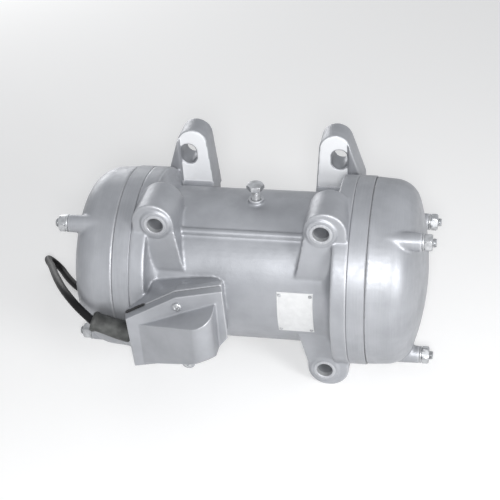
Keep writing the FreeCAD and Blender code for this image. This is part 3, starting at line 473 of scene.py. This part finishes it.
def rod_grid(centre, axis, length, radius, thread_from):
    """A rod whose radius falls by the thread's depth times a triangle wave of height over pitch
    less angle over a full turn, from thread_from to its tip; both ends are chamfered."""
    plain = [0.0, 0.0008, thread_from * 0.5, max(thread_from - 0.0003, ROD_CHAMFER)]
    count = int((length - thread_from) / THREAD_PITCH * THREAD_ROWS)
    cut = np.linspace(thread_from, length - 0.001, count)
    height = np.concatenate([plain, cut, [length - ROD_CHAMFER, length]])
    turn = np.arange(ROD_COLUMNS) / ROD_COLUMNS
    wave = np.abs(((height[:, None] / THREAD_PITCH - turn[None, :]) % 1.0) * 2 - 1)
    threaded = ((height >= thread_from) & (height < length - 0.0008))[:, None]
    size = radius - THREAD_DEPTH * wave * threaded
    to_end = np.minimum(height, length - height)[:, None]
    size = np.minimum(size, radius - np.maximum(0.0, ROD_CHAMFER - to_end))
    return turned_grid(centre, axis, size, np.repeat(height[:, None], ROD_COLUMNS, axis=1))


def nut_profile(flats, height, bore):
    """Rows of radius and height round a nut's section: bottom face, chamfered side, top face,
    countersunk bore. The side lies past the corners of the hexagon that cuts it."""
    face, corner = flats * 0.475, flats * 0.585
    return [(bore + 0.0006, 0.0), (face, 0.0), (face + 0.0006, 0.0003), (corner, 0.0012),
            (corner, height * 0.5), (corner, height - 0.0018), (flats * 0.545, height - 0.0010),
            (flats * 0.51, height - 0.0004), (face, height), (bore + 0.0008, height),
            (bore, height - 0.0008), (bore, 0.0006)]


sprayed_steel = plated_material("sprayed zinc plate", STEEL_SPRAYED, roughness=0.34, metallic=0.75)
stud_length = STUD_X[1] - STUD_X[0]
nut_rows = nut_profile(NUT_FLATS, NUT_H, STUD_R)
for end, side in (("right", 1.0), ("left", -1.0)):
    out = np.array((side, 0.0, 0.0))
    rods, washers, nuts = [], [], []
    for angle, nut_spin in zip(np.radians(STUD_ANGLES), NUT_SPINS):
        ray = np.array((0.0, -math.sin(angle), math.cos(angle))) * STUD_CIRCLE
        root = SHAFT_AT + ray + out * STUD_X[0]
        seat = SHAFT_AT + ray + out * WASHER_X
        rods.append(rod_grid(root, out, stud_length, STUD_R, stud_length - STUD_THREAD))
        washers.append(turned_grid(seat, out, *spread(WASHER_PROFILE, WASHER_COLUMNS)))
        nuts.append(hexagon_grid(seat + out * WASHER_T, out, NUT_FLATS, nut_rows, nut_spin))
    rod_piece = shell_piece("stud_rods_" + end, rods)
    washer_piece = shell_piece("stud_washers_" + end, washers, poles=False)
    nut_piece = shell_piece("stud_nuts_" + end, nuts, poles=False)
    finish_piece(rod_piece, sprayed_steel, "frame", ["cover_studs_" + end])
    finish_piece(washer_piece, sprayed_steel, "frame", ["cover_washers_" + end])
    finish_piece(nut_piece, sprayed_steel, "frame", ["cover_nuts_" + end])


# ---- bolt on top of the barrel ---------------------------------------------------------------
# A plated steel hexagon bolt, screwed through a small boss, locks the stator core in the barrel.
# Its head stands clear of the boss on a threaded neck.
BOLT_AT = SHAFT_AT + np.array((0.008, -0.003, 0.0))
BOLT_FROM = 0.0722          # height of its lower end over the shaft
BOLT_HEAD_AT = 0.0995       # and of its head
BOLT_HEAD_SPIN = 0.2
# radius and height, from the head's lower face
BOLT_HEAD_PROFILE = ((0.0052, 0.0), (0.0079, 0.0), (0.0081, 0.0004), (0.0082, 0.0006),
                     (0.0100, 0.0014), (0.0100, 0.0040), (0.0100, 0.0050), (0.0092, 0.0058),
                     (0.0086, 0.0063), (0.0080, 0.0066), (0.0068, 0.0068), (0.0040, 0.0070))
BOLT_IN_HEAD = 0.002        # how far the neck's shell runs into the head's
BOLT_PLAIN = 0.010          # length below the thread
BOLT_R = 0.005
up = np.array((0.0, 0.0, 1.0))
bolt_length = BOLT_HEAD_AT - BOLT_FROM + BOLT_IN_HEAD
bolt_neck = rod_grid(BOLT_AT + up * BOLT_FROM, up, bolt_length, BOLT_R, BOLT_PLAIN)
bolt_head = hexagon_grid(BOLT_AT + up * BOLT_HEAD_AT, up, NUT_FLATS, BOLT_HEAD_PROFILE, BOLT_HEAD_SPIN)
lock_bolt = shell_piece("lock_bolt", [bolt_neck, bolt_head])
finish_piece(lock_bolt, sprayed_steel, "frame", ["top_bolt"])


# ---- terminal lid ----------------------------------------------------------------------------
# The lid is a small pressure casting: a flat flange and a hood that deepens towards the right,
# held by two pan-head screws, one of them in a step of the lower edge.
LID_GRID = 0.0008
LID_RELAX = 3
LID_SCREWS = (              # seats of the screws' heads, from the shaft
    (-0.0525, -0.138, 0.0365), (-0.050, -0.131, -0.0439),
)
LID_SCREW_TIP = -0.110      # y of both tips, from the shaft
LID_SCREW_R = 0.003
LID_SCREW_SPIN = 0.5
PAN_R = 0.0052
PAN_H = 0.0031
PAN_RIM = 0.0006            # height of the head's upright edge
PAN_POWER = 2.6             # 2 would be a ball's crown; more is flatter
PAN_COLUMNS = 64
CROSS_WIDE = 0.0006         # half the width of an arm of the driver's cross
CROSS_LONG = 0.0027         # and half its length
CROSS_DEEP = 0.0013
CROSS_SIDE_SLOPE = 0.0003
CROSS_END_SLOPE = 0.0005
lid = cast_skin("terminal_lid_casting", "terminal_lid", LID_GRID, LID_RELAX)
finish_piece(lid, cast_paint, "frame", ["terminal_lid"])


def cross_arm(across, along):
    """1 within CROSS_WIDE across and CROSS_LONG along, with straight slopes down to 0 outside."""
    within_side = np.clip((CROSS_WIDE - across) / CROSS_SIDE_SLOPE + 0.5, 0, 1)
    within_end = np.clip((CROSS_LONG - along) / CROSS_END_SLOPE + 0.5, 0, 1)
    return within_side * within_end


def pan_screw_grid(seat):
    """Pan head: height = rim + (PAN_H - rim) * (1 - (r / PAN_R) ^ PAN_POWER) ^ 0.5, less the two
    arms of a cross; then the side, the seat, and the shank down to its tip."""
    angle = 2 * np.pi * np.arange(PAN_COLUMNS)[None, :] / PAN_COLUMNS
    crown_r = np.linspace(0.0002, PAN_R * 0.9, 26)
    edge_r = PAN_R * np.array((0.95, 0.985, 1.0))
    r = np.concatenate([crown_r, edge_r])[:, None]
    crown = PAN_RIM + (PAN_H - PAN_RIM) * np.sqrt(np.maximum(0.0, 1 - (r / PAN_R) ** PAN_POWER))
    across, along = np.abs(r * np.cos(angle)), np.abs(r * np.sin(angle))
    height = crown - CROSS_DEEP * np.maximum(cross_arm(across, along), cross_arm(along, across))
    depth = LID_SCREW_TIP - seat[1]
    shank = [(PAN_R, 0.0), (LID_SCREW_R, 0.0), (LID_SCREW_R, -depth + 0.001),
             (LID_SCREW_R - 0.001, -depth)]
    shank_radius, shank_height = spread(shank, PAN_COLUMNS)
    radius = np.vstack([np.repeat(r, PAN_COLUMNS, axis=1), shank_radius])
    height = np.vstack([height, shank_height])
    return turned_grid(SHAFT_AT + seat, (0.0, -1.0, 0.0), radius, height, LID_SCREW_SPIN)


screws = shell_piece("lid_pan_screws", [pan_screw_grid(seat) for seat in LID_SCREWS])
finish_piece(screws, sprayed_steel, "frame", ["lid_screws"])


# ---- sealing bead ----------------------------------------------------------------------------
# A bead of black sealing compound, pressed in by hand and squeezed out where the lid meets its
# base at the upper left corner.
BEAD_FROM = np.array((-0.1142, -0.1254, 0.0148))
BEAD_TO = np.array((-0.0915, -0.1254, 0.0278))
BEAD_R = 0.0019
BEAD_ROWS = 60
BEAD_COLUMNS = 16
BEAD_BLACK = (0.010, 0.010, 0.011, 1.0)


def bead_grid():
    """Point = line(s) + r(s) * (side * cos(angle) + up * sin(angle)); r is BEAD_R times a sum of
    two sine waves of s, falling to nearly nothing at both ends as the root of s * (1 - s)."""
    s = np.linspace(0.0, 1.0, BEAD_ROWS)[:, None]
    line = SHAFT_AT + BEAD_FROM + (BEAD_TO - BEAD_FROM) * s
    side, above = across_axis((BEAD_TO - BEAD_FROM) / np.linalg.norm(BEAD_TO - BEAD_FROM))
    angle = 2 * np.pi * np.arange(BEAD_COLUMNS)[None, :] / BEAD_COLUMNS
    swell = 0.85 + 0.09 * np.sin(13 * s) + 0.05 * np.sin(37 * s + 1.0)
    size = BEAD_R * swell * np.sqrt(np.clip(12 * s * (1 - s), 0.02, 1.0))
    ring = np.cos(angle)[..., None] * side + np.sin(angle)[..., None] * above
    return line[:, None, :] + size[..., None] * ring


sealant = rubber_material("black sealing compound", BEAD_BLACK, grain=300.0, depth=0.0003,
                          roughness=0.35)
bead = shell_piece("sealing_bead", [bead_grid()], crease=80.0)
finish_piece(bead, sealant, "frame")


# ---- name plate ------------------------------------------------------------------------------
# A bare sheet of satin aluminium, bent to the barrel and held by four small rivets. A pressed
# line runs round its edge; nothing is printed on it.
PLATE_X = (0.0405, 0.0795)
PLATE_ANGLES = np.radians((75.0, 112.0))
PLATE_R = (0.084, 0.0848)   # the barrel below it and its own outer face
PLATE_OFF_BARREL = 0.00002
PLATE_ROWS = 130
PLATE_COLUMNS = 95
PLATE_BACK_COLUMNS = 6
PLATE_LINE = 0.0020         # edge of the plate to the pressed line
PLATE_LINE_WIDE = 0.00028
PLATE_LINE_DEEP = 0.00018
PLATE_EDGE_WIDE = 0.0004    # the sheared edge is rounded over this width
PLATE_EDGE_DEEP = 0.0003
ALUMINIUM_SATIN = (0.74, 0.745, 0.75, 1.0)


def plate_grid():
    """Point = (x, -r * sin(angle), r * cos(angle)) from the shaft. Columns run over the face and
    back below it, where r is the barrel's. On the face, r is the outer radius less a bell-shaped
    groove at one distance from the edge, and less a slope at the edge itself."""
    angle = np.linspace(PLATE_ANGLES[0], PLATE_ANGLES[1], PLATE_ROWS)[:, None]
    over = np.linspace(PLATE_X[0], PLATE_X[1], PLATE_COLUMNS)
    back = np.linspace(PLATE_X[1], PLATE_X[0], PLATE_BACK_COLUMNS)
    x = np.concatenate([over, back])[None, :]
    on_face = np.arange(PLATE_COLUMNS + PLATE_BACK_COLUMNS)[None, :] < PLATE_COLUMNS
    from_sides = np.minimum(x - PLATE_X[0], PLATE_X[1] - x)
    from_ends = np.minimum(angle - PLATE_ANGLES[0], PLATE_ANGLES[1] - angle) * PLATE_R[1]
    inset = np.minimum(from_sides, from_ends)
    groove = PLATE_LINE_DEEP * np.exp(-((inset - PLATE_LINE) / PLATE_LINE_WIDE) ** 2)
    slope = PLATE_EDGE_DEEP * np.clip(1 - inset / PLATE_EDGE_WIDE, 0, 1)
    r = np.where(on_face, PLATE_R[1] - groove - slope, PLATE_R[0] + PLATE_OFF_BARREL)
    point = np.broadcast_arrays(x, -r * np.sin(angle), r * np.cos(angle))
    return SHAFT_AT + np.stack(point, axis=-1)


satin = plated_material("satin aluminium sheet", ALUMINIUM_SATIN, roughness=0.42, metallic=0.6,
                        shade=0.93)
plate = shell_piece("name_plate_sheet", [plate_grid()])
finish_piece(plate, satin, "frame", ["name_plate"])
finish_node(["plate_rivets"], sprayed_steel)


# ---- parts inside the motor --------------------------------------------------------------------
# The covers hide the steel shaft with its keyed weights, two roller bearings, the rotor with its
# cast cage, and the wound stator core pressed into the barrel; the lid hides the moulded terminal
# board. All of them keep their CAD shapes.
steel = plated_material("ground steel", (0.62, 0.62, 0.63, 1.0), roughness=0.25)
plain_steel = plated_material("turned steel", (0.48, 0.48, 0.49, 1.0), roughness=0.36)
weight_steel = plated_material("flame cut steel", (0.32, 0.32, 0.33, 1.0), roughness=0.5)
lamination = plated_material("stacked core sheet", (0.25, 0.26, 0.28, 1.0), roughness=0.45)
cast_aluminium = plated_material("cast aluminium", (0.75, 0.76, 0.77, 1.0), roughness=0.45)
brass = plated_material("brass", (0.78, 0.58, 0.26, 1.0), roughness=0.32)
copper_enamel = plated_material("enamelled copper", (0.50, 0.19, 0.07, 1.0), roughness=0.35)
board_resin = rubber_material("moulded board", (0.06, 0.045, 0.035, 1.0), grain=500.0, depth=0.0001)
finish_node(both("bearing_outer_ring") + both("bearing_inner_ring") + both("bearing_rollers"), steel)
finish_node(both("roller_cage"), brass)
finish_node(["rotor_shaft", "weight_keys"] + both("weight_spacer") + both("shaft_nut"), plain_steel)
finish_node(both("bearing_cap") + both("inner_weight") + both("outer_weight"), weight_steel)
finish_node(["stator_core", "rotor_core"], lamination)
finish_node(["rotor_cage"], cast_aluminium)
finish_node(["stator_winding"], copper_enamel)
finish_node(["pinch_bolts", "board_screws"] + both("cap_screws"), sprayed_steel)
finish_node(["terminal_board"], board_resin)
finish_node(["terminal_studs", "terminal_nuts", "terminal_links", "earth_screw"], brass)


# ---- cable sleeve ------------------------------------------------------------------------------
# A long tapered rubber sleeve guards the cable where it leaves the box. It is pushed into the
# gland boss, bends up a little, ends in a thick lip, and has caught some of the spray paint.
SLEEVE_ROOT = np.array((-0.1155, -0.115, -0.0214))
SLEEVE_MOUTH = np.array((-0.1576, -0.115, -0.0081))
SLEEVE_IN = 0.013           # length of the plug inside the boss
SLEEVE_BEND = 0.007         # half the stretch over which it bends
SLEEVE_BORE = 0.0046
SLEEVE_WEAR = 0.00012       # depth of its unevenness
SLEEVE_ROWS = 140
SLEEVE_COLUMNS = 48
SLEEVE_RUN = np.linalg.norm(SLEEVE_MOUTH - SLEEVE_ROOT)
# distance along the sleeve from the boss, and radius there
SLEEVE_PROFILE = ((-SLEEVE_IN, 0.0060), (-SLEEVE_IN + 0.001, 0.0066), (-0.0006, 0.0066),
                  (0.0003, 0.0098), (0.0012, 0.0106), (0.004, 0.0109), (0.012, 0.0108),
                  (0.024, 0.0104), (SLEEVE_RUN - 0.0085, 0.0100), (SLEEVE_RUN - 0.0064, 0.0100),
                  (SLEEVE_RUN - 0.0052, 0.0107), (SLEEVE_RUN - 0.0038, 0.0113),
                  (SLEEVE_RUN - 0.0020, 0.0113), (SLEEVE_RUN - 0.0007, 0.0106),
                  (SLEEVE_RUN, 0.0092))
SLEEVE_BLACK = (0.030, 0.031, 0.030, 1.0)


def sleeve_grid():
    """Point = line(s) + r(s) * (across * cos + above * sin). The line's direction turns smoothly
    from straight out to the slope of the sleeve; r follows the profile out, with two slow waves
    round it where it shows, then the bore back."""
    outside = np.array(SLEEVE_PROFILE)
    s = np.linspace(-SLEEVE_IN, SLEEVE_RUN, SLEEVE_ROWS)
    share = np.clip((s + SLEEVE_BEND) / (2 * SLEEVE_BEND), 0, 1)[:, None]
    slope = (SLEEVE_MOUTH - SLEEVE_ROOT) / SLEEVE_RUN
    way = (1 - share) * np.array((-1.0, 0.0, 0.0)) + share * slope
    way = way / np.linalg.norm(way, axis=1)[:, None]
    step = np.vstack([np.zeros(3), way[1:] * np.diff(s)[:, None]])
    line = np.cumsum(step, axis=0)
    line = line + SLEEVE_MOUTH - line[-1]
    across = np.array((0.0, 1.0, 0.0))
    above = np.cross(way, across)
    turn = 2 * np.pi * np.arange(SLEEVE_COLUMNS)[None, :] / SLEEVE_COLUMNS
    radius = np.interp(s, outside[:, 0], outside[:, 1])[:, None] * np.ones_like(turn)
    worn = np.sin(3 * turn + 140 * s[:, None]) + np.sin(5 * turn - 260 * s[:, None] + 1.3)
    radius = radius + SLEEVE_WEAR * worn * (s[:, None] > 0.0)
    ring = across * np.cos(turn)[..., None] + above[:, None, :] * np.sin(turn)[..., None]
    skin = line[:, None, :] + radius[..., None] * ring
    hole = line[:, None, :] + SLEEVE_BORE * ring
    return SHAFT_AT + np.concatenate([skin, hole[::-1]])


sleeve_rubber = rubber_material("sprayed sleeve rubber", SLEEVE_BLACK, grain=420.0, depth=0.0006,
                                roughness=0.62, pale=4.2)
sleeve = shell_piece("cable_sleeve_guard", [sleeve_grid()], poles=False, crease=70.0)
finish_piece(sleeve, sleeve_rubber, "frame", ["cable_sleeve"])


# ---- supply cable --------------------------------------------------------------------------------
# A round lead in a smooth black rubber sheath leaves the sleeve, bends down behind the left dome,
# folds near the ground and runs to its coil behind the motor, where it ends in bare cores.
CABLE_R = 0.0045
SHEATH_BLACK = (0.0045, 0.0045, 0.005, 1.0)
SHEATH_SPECULAR = 0.2
ROUTE_MM = [                # from the shaft, in millimetres
    (-157.6, -115.0, -8.1), (-170.9, -108.2, -1.7), (-185.4, -96.8, 3.6),
    (-203.4, -75.2, 2.4), (-223.9, -40.6, -9.8), (-244.1, -1.2, -31.0),
    (-265.0, 40.8, -55.0), (-282.3, 74.9, -73.9), (-292.5, 91.5, -82.0),
    (-299.3, 105.4, -86.7), (-299.7, 113.4, -93.9), (-294.3, 116.6, -102.6),
    (-285.9, 113.2, -108.5), (-273.1, 96.6, -108.5), (-250.2, 73.5, -108.5),
    (-228.0, 62.5, -108.5), (-200.0, 60.0, -108.5), (-171.0, 72.0, -108.5),
    (-147.0, 97.0, -108.5), (-122.0, 128.0, -108.5), (-88.0, 150.0, -108.5),
    (-45.0, 155.0, -108.5),
]
COIL_CENTRE = np.array((-0.010, 0.2305, 0.0))
COIL_STEPS = 16             # points on each turn
COIL_STEPS_OVER = 4         # of which the last ones lead over to the next turn
COIL_LEAD_IN = 0.35         # angle between the end of the route and the first turn
COIL_TURNS = (              # radius and height of each turn
    (0.0545, 0.0045), (0.0455, 0.0045), (0.0455, 0.0135), (0.0545, 0.0135),
)

route = [SHAFT_AT + np.array(place) / 1000 for place in ROUTE_MM]
first_angle = math.atan2(route[-1][1] - COIL_CENTRE[1], route[-1][0] - COIL_CENTRE[0])
coil = []
for number, (radius, height) in enumerate(COIL_TURNS):
    next_radius, next_height = COIL_TURNS[min(number + 1, len(COIL_TURNS) - 1)]
    for step in range(COIL_STEPS):
        share = max(0.0, (step - COIL_STEPS + COIL_STEPS_OVER) / COIL_STEPS_OVER)
        r = radius + (next_radius - radius) * share
        z = height + (next_height - height) * share
        angle = first_angle + COIL_LEAD_IN + 2 * math.pi * step / COIL_STEPS
        coil.append(COIL_CENTRE + np.array((r * math.cos(angle), r * math.sin(angle), z)))

lead_curve = bpy.data.curves.new("supply_lead", "CURVE")
lead_curve.dimensions = "3D"
spline = lead_curve.splines.new("NURBS")
control = np.array(route + coil)
spline.points.add(len(control) - 1)
spline.points.foreach_set("co", np.column_stack([control, np.ones(len(control))]).ravel())
spline.order_u = 3
spline.use_endpoint_u = True
spline.resolution_u = 8
lead_curve.bevel_depth = CABLE_R
lead_curve.bevel_resolution = 5
lead_curve.use_fill_caps = True
lead = bpy.data.objects.new("supply_lead", lead_curve)
bpy.context.collection.objects.link(lead)
sheath = rubber_material("cable sheath", SHEATH_BLACK, grain=700.0, depth=0.00012, roughness=0.5,
                         pale=1.8)
sheath_shader = sheath.node_tree.nodes["Principled BSDF"]
sheath_shader.inputs["Specular IOR Level"].default_value = SHEATH_SPECULAR
finish_piece(lead, sheath, "frame", ["supply_cable", "cable_coil"])
finish_node(["cable_tail"], sheath)


# ---- bare cores --------------------------------------------------------------------------------
# Three bared cores of twisted copper strand stand out of the cut end of the sheath on the coil,
# spread a little and sag under their own weight.
CORE_R = 0.00125
CORE_LENGTH = 0.026
CORE_IN = 0.003             # how far they start inside the sheath
CORE_STRANDS = 7
CORE_LAY = 0.012            # length in which the strands turn once
CORE_GROOVE = 0.07          # depth of the grooves between strands, as a share of the radius
CORE_PLACES = ((-0.0016, -0.0009), (0.0016, -0.0009), (0.0, 0.0017))
CORE_SPREAD = 1.9
CORE_SAG = 0.004
CORE_ROWS = 40
CORE_COLUMNS = 28
COPPER = (0.80, 0.42, 0.26, 1.0)


def core_grid(end, way, place):
    """Point = line(s) + r(s, angle) * ring. The line runs on from the cord's end, spreads from its
    place and sags, both by the square of s; r swells over each strand of the twist."""
    s = np.linspace(0.0, 1.0, CORE_ROWS)[:, None]
    aside, upward = across_axis(way)
    out = place[0] * aside + place[1] * upward
    line = end + way * (s * (CORE_LENGTH + CORE_IN) - CORE_IN) + out * (1 + CORE_SPREAD * s ** 2)
    line = line - np.array((0.0, 0.0, CORE_SAG)) * s ** 2
    turn = 2 * np.pi * np.arange(CORE_COLUMNS)[None, :] / CORE_COLUMNS
    twist = CORE_STRANDS * (turn + 2 * np.pi * s * CORE_LENGTH / CORE_LAY)
    size = CORE_R * (1 - CORE_GROOVE + CORE_GROOVE * np.abs(np.cos(twist / 2)))
    ring = np.cos(turn)[..., None] * aside + np.sin(turn)[..., None] * upward
    return line[:, None, :] + size[..., None] * ring


cord_way = (coil[-1] - coil[-2]) / np.linalg.norm(coil[-1] - coil[-2])
core_grids = [core_grid(coil[-1], cord_way, place) for place in CORE_PLACES]
cores = shell_piece("bare_cores", core_grids, crease=70.0)
copper = plated_material("bare copper strand", COPPER, roughness=0.35)
finish_piece(cores, copper, "frame", ["cable_cores"])


# ---- floor, light and camera -----------------------------------------------------------------
# The motor stands on a plain pale floor. A small soft lamp beside the camera, a wider one from
# the right, a faint one from behind and an even surround light it.
FLOOR_HALF = 6.0
FLOOR_COLOR = (0.74, 0.74, 0.74, 1.0)
FLOOR_ROUGHNESS = 0.9
FLOOR_GLOW = 0.34           # how much paler the floor looks to the eye than its light alone
WORLD_COLOR = (0.95, 0.97, 1.0, 1.0)
WORLD_LIGHT = 0.30          # strength of the surround as light on surfaces
WORLD_SEEN = 0.80           # and to the eye
CAMERA_AT = (0.2365, -0.9999, 0.8376)
CAMERA_RIGHT = (0.9803, 0.1881, -0.0603)
CAMERA_UP = (-0.0561, 0.5579, 0.828)
CAMERA_BACK = (0.1894, -0.8083, 0.5575)


def seen_directly(tree):
    """1 for what the eye sees, straight or in gloss or through glass; 0 for light on surfaces."""
    path = add_node(tree, "LightPath")
    seen = combine(tree, "MAXIMUM", path.outputs["Is Camera Ray"], path.outputs["Is Glossy Ray"])
    return combine(tree, "MAXIMUM", seen, path.outputs["Is Transmission Ray"])


floor_mesh = bpy.data.meshes.new("floor")
floor_mesh.from_pydata([(-FLOOR_HALF, -FLOOR_HALF, 0), (FLOOR_HALF, -FLOOR_HALF, 0),
                        (FLOOR_HALF, FLOOR_HALF, 0), (-FLOOR_HALF, FLOOR_HALF, 0)],
                       [], [(0, 1, 2, 3)])
floor = bpy.data.objects.new("floor", floor_mesh)
bpy.context.collection.objects.link(floor)
floor_material, floor_tree, floor_shader = new_material("floor", FLOOR_COLOR, metallic=0.0,
                                                       roughness=FLOOR_ROUGHNESS)
glow = combine(floor_tree, "MULTIPLY", seen_directly(floor_tree), FLOOR_GLOW)
floor_shader.inputs["Emission Color"].default_value = (1.0, 1.0, 1.0, 1.0)
floor_tree.links.new(glow, floor_shader.inputs["Emission Strength"])
floor_mesh.materials.append(floor_material)


def turned_to(x_axis, y_axis, z_axis):
    """Rotation whose columns are these three directions."""
    return Matrix(np.column_stack([x_axis, y_axis, z_axis]).tolist()).to_euler()


def soft_lamp(name, place, aim, side, watts):
    """A square lamp that faces a point."""
    light = bpy.data.lights.new(name, "AREA")
    light.size = side
    light.energy = watts
    lamp = bpy.data.objects.new(name, light)
    bpy.context.collection.objects.link(lamp)
    lamp.location = place
    away = np.array(place) - np.array(aim)
    away = away / np.linalg.norm(away)
    across = np.cross((0.0, 0.0, 1.0), away)
    across = across / np.linalg.norm(across)
    lamp.rotation_euler = turned_to(across, np.cross(away, across), away)


soft_lamp("lamp_front", place=(0.27, -1.20, 0.90), aim=(0.02, 0.0, 0.11), side=0.20, watts=12.4)
soft_lamp("lamp_right", place=(1.15, -0.95, 0.62), aim=(0.05, 0.0, 0.11), side=0.5, watts=13.0)
soft_lamp("lamp_back", place=(-1.1, 1.6, 0.4), aim=(0.0, 0.0, 0.1), side=0.9, watts=8.0)

world = bpy.data.worlds.new("surround")
bpy.context.scene.world = world
world.use_nodes = True
world_tree = world.node_tree
background = world_tree.nodes["Background"]
background.inputs["Color"].default_value = WORLD_COLOR
strength = remap(world_tree, seen_directly(world_tree), 0.0, 1.0, WORLD_LIGHT, WORLD_SEEN)
world_tree.links.new(strength, background.inputs["Strength"])

camera_data = bpy.data.cameras.new("camera")
camera_data.sensor_width = 36.0
camera_data.lens = 81.0
camera = bpy.data.objects.new("camera", camera_data)
bpy.context.collection.objects.link(camera)
camera.location = CAMERA_AT
camera.rotation_euler = turned_to(CAMERA_RIGHT, CAMERA_UP, CAMERA_BACK)
bpy.context.scene.camera = camera
bpy.context.scene.view_settings.view_transform = "Standard"
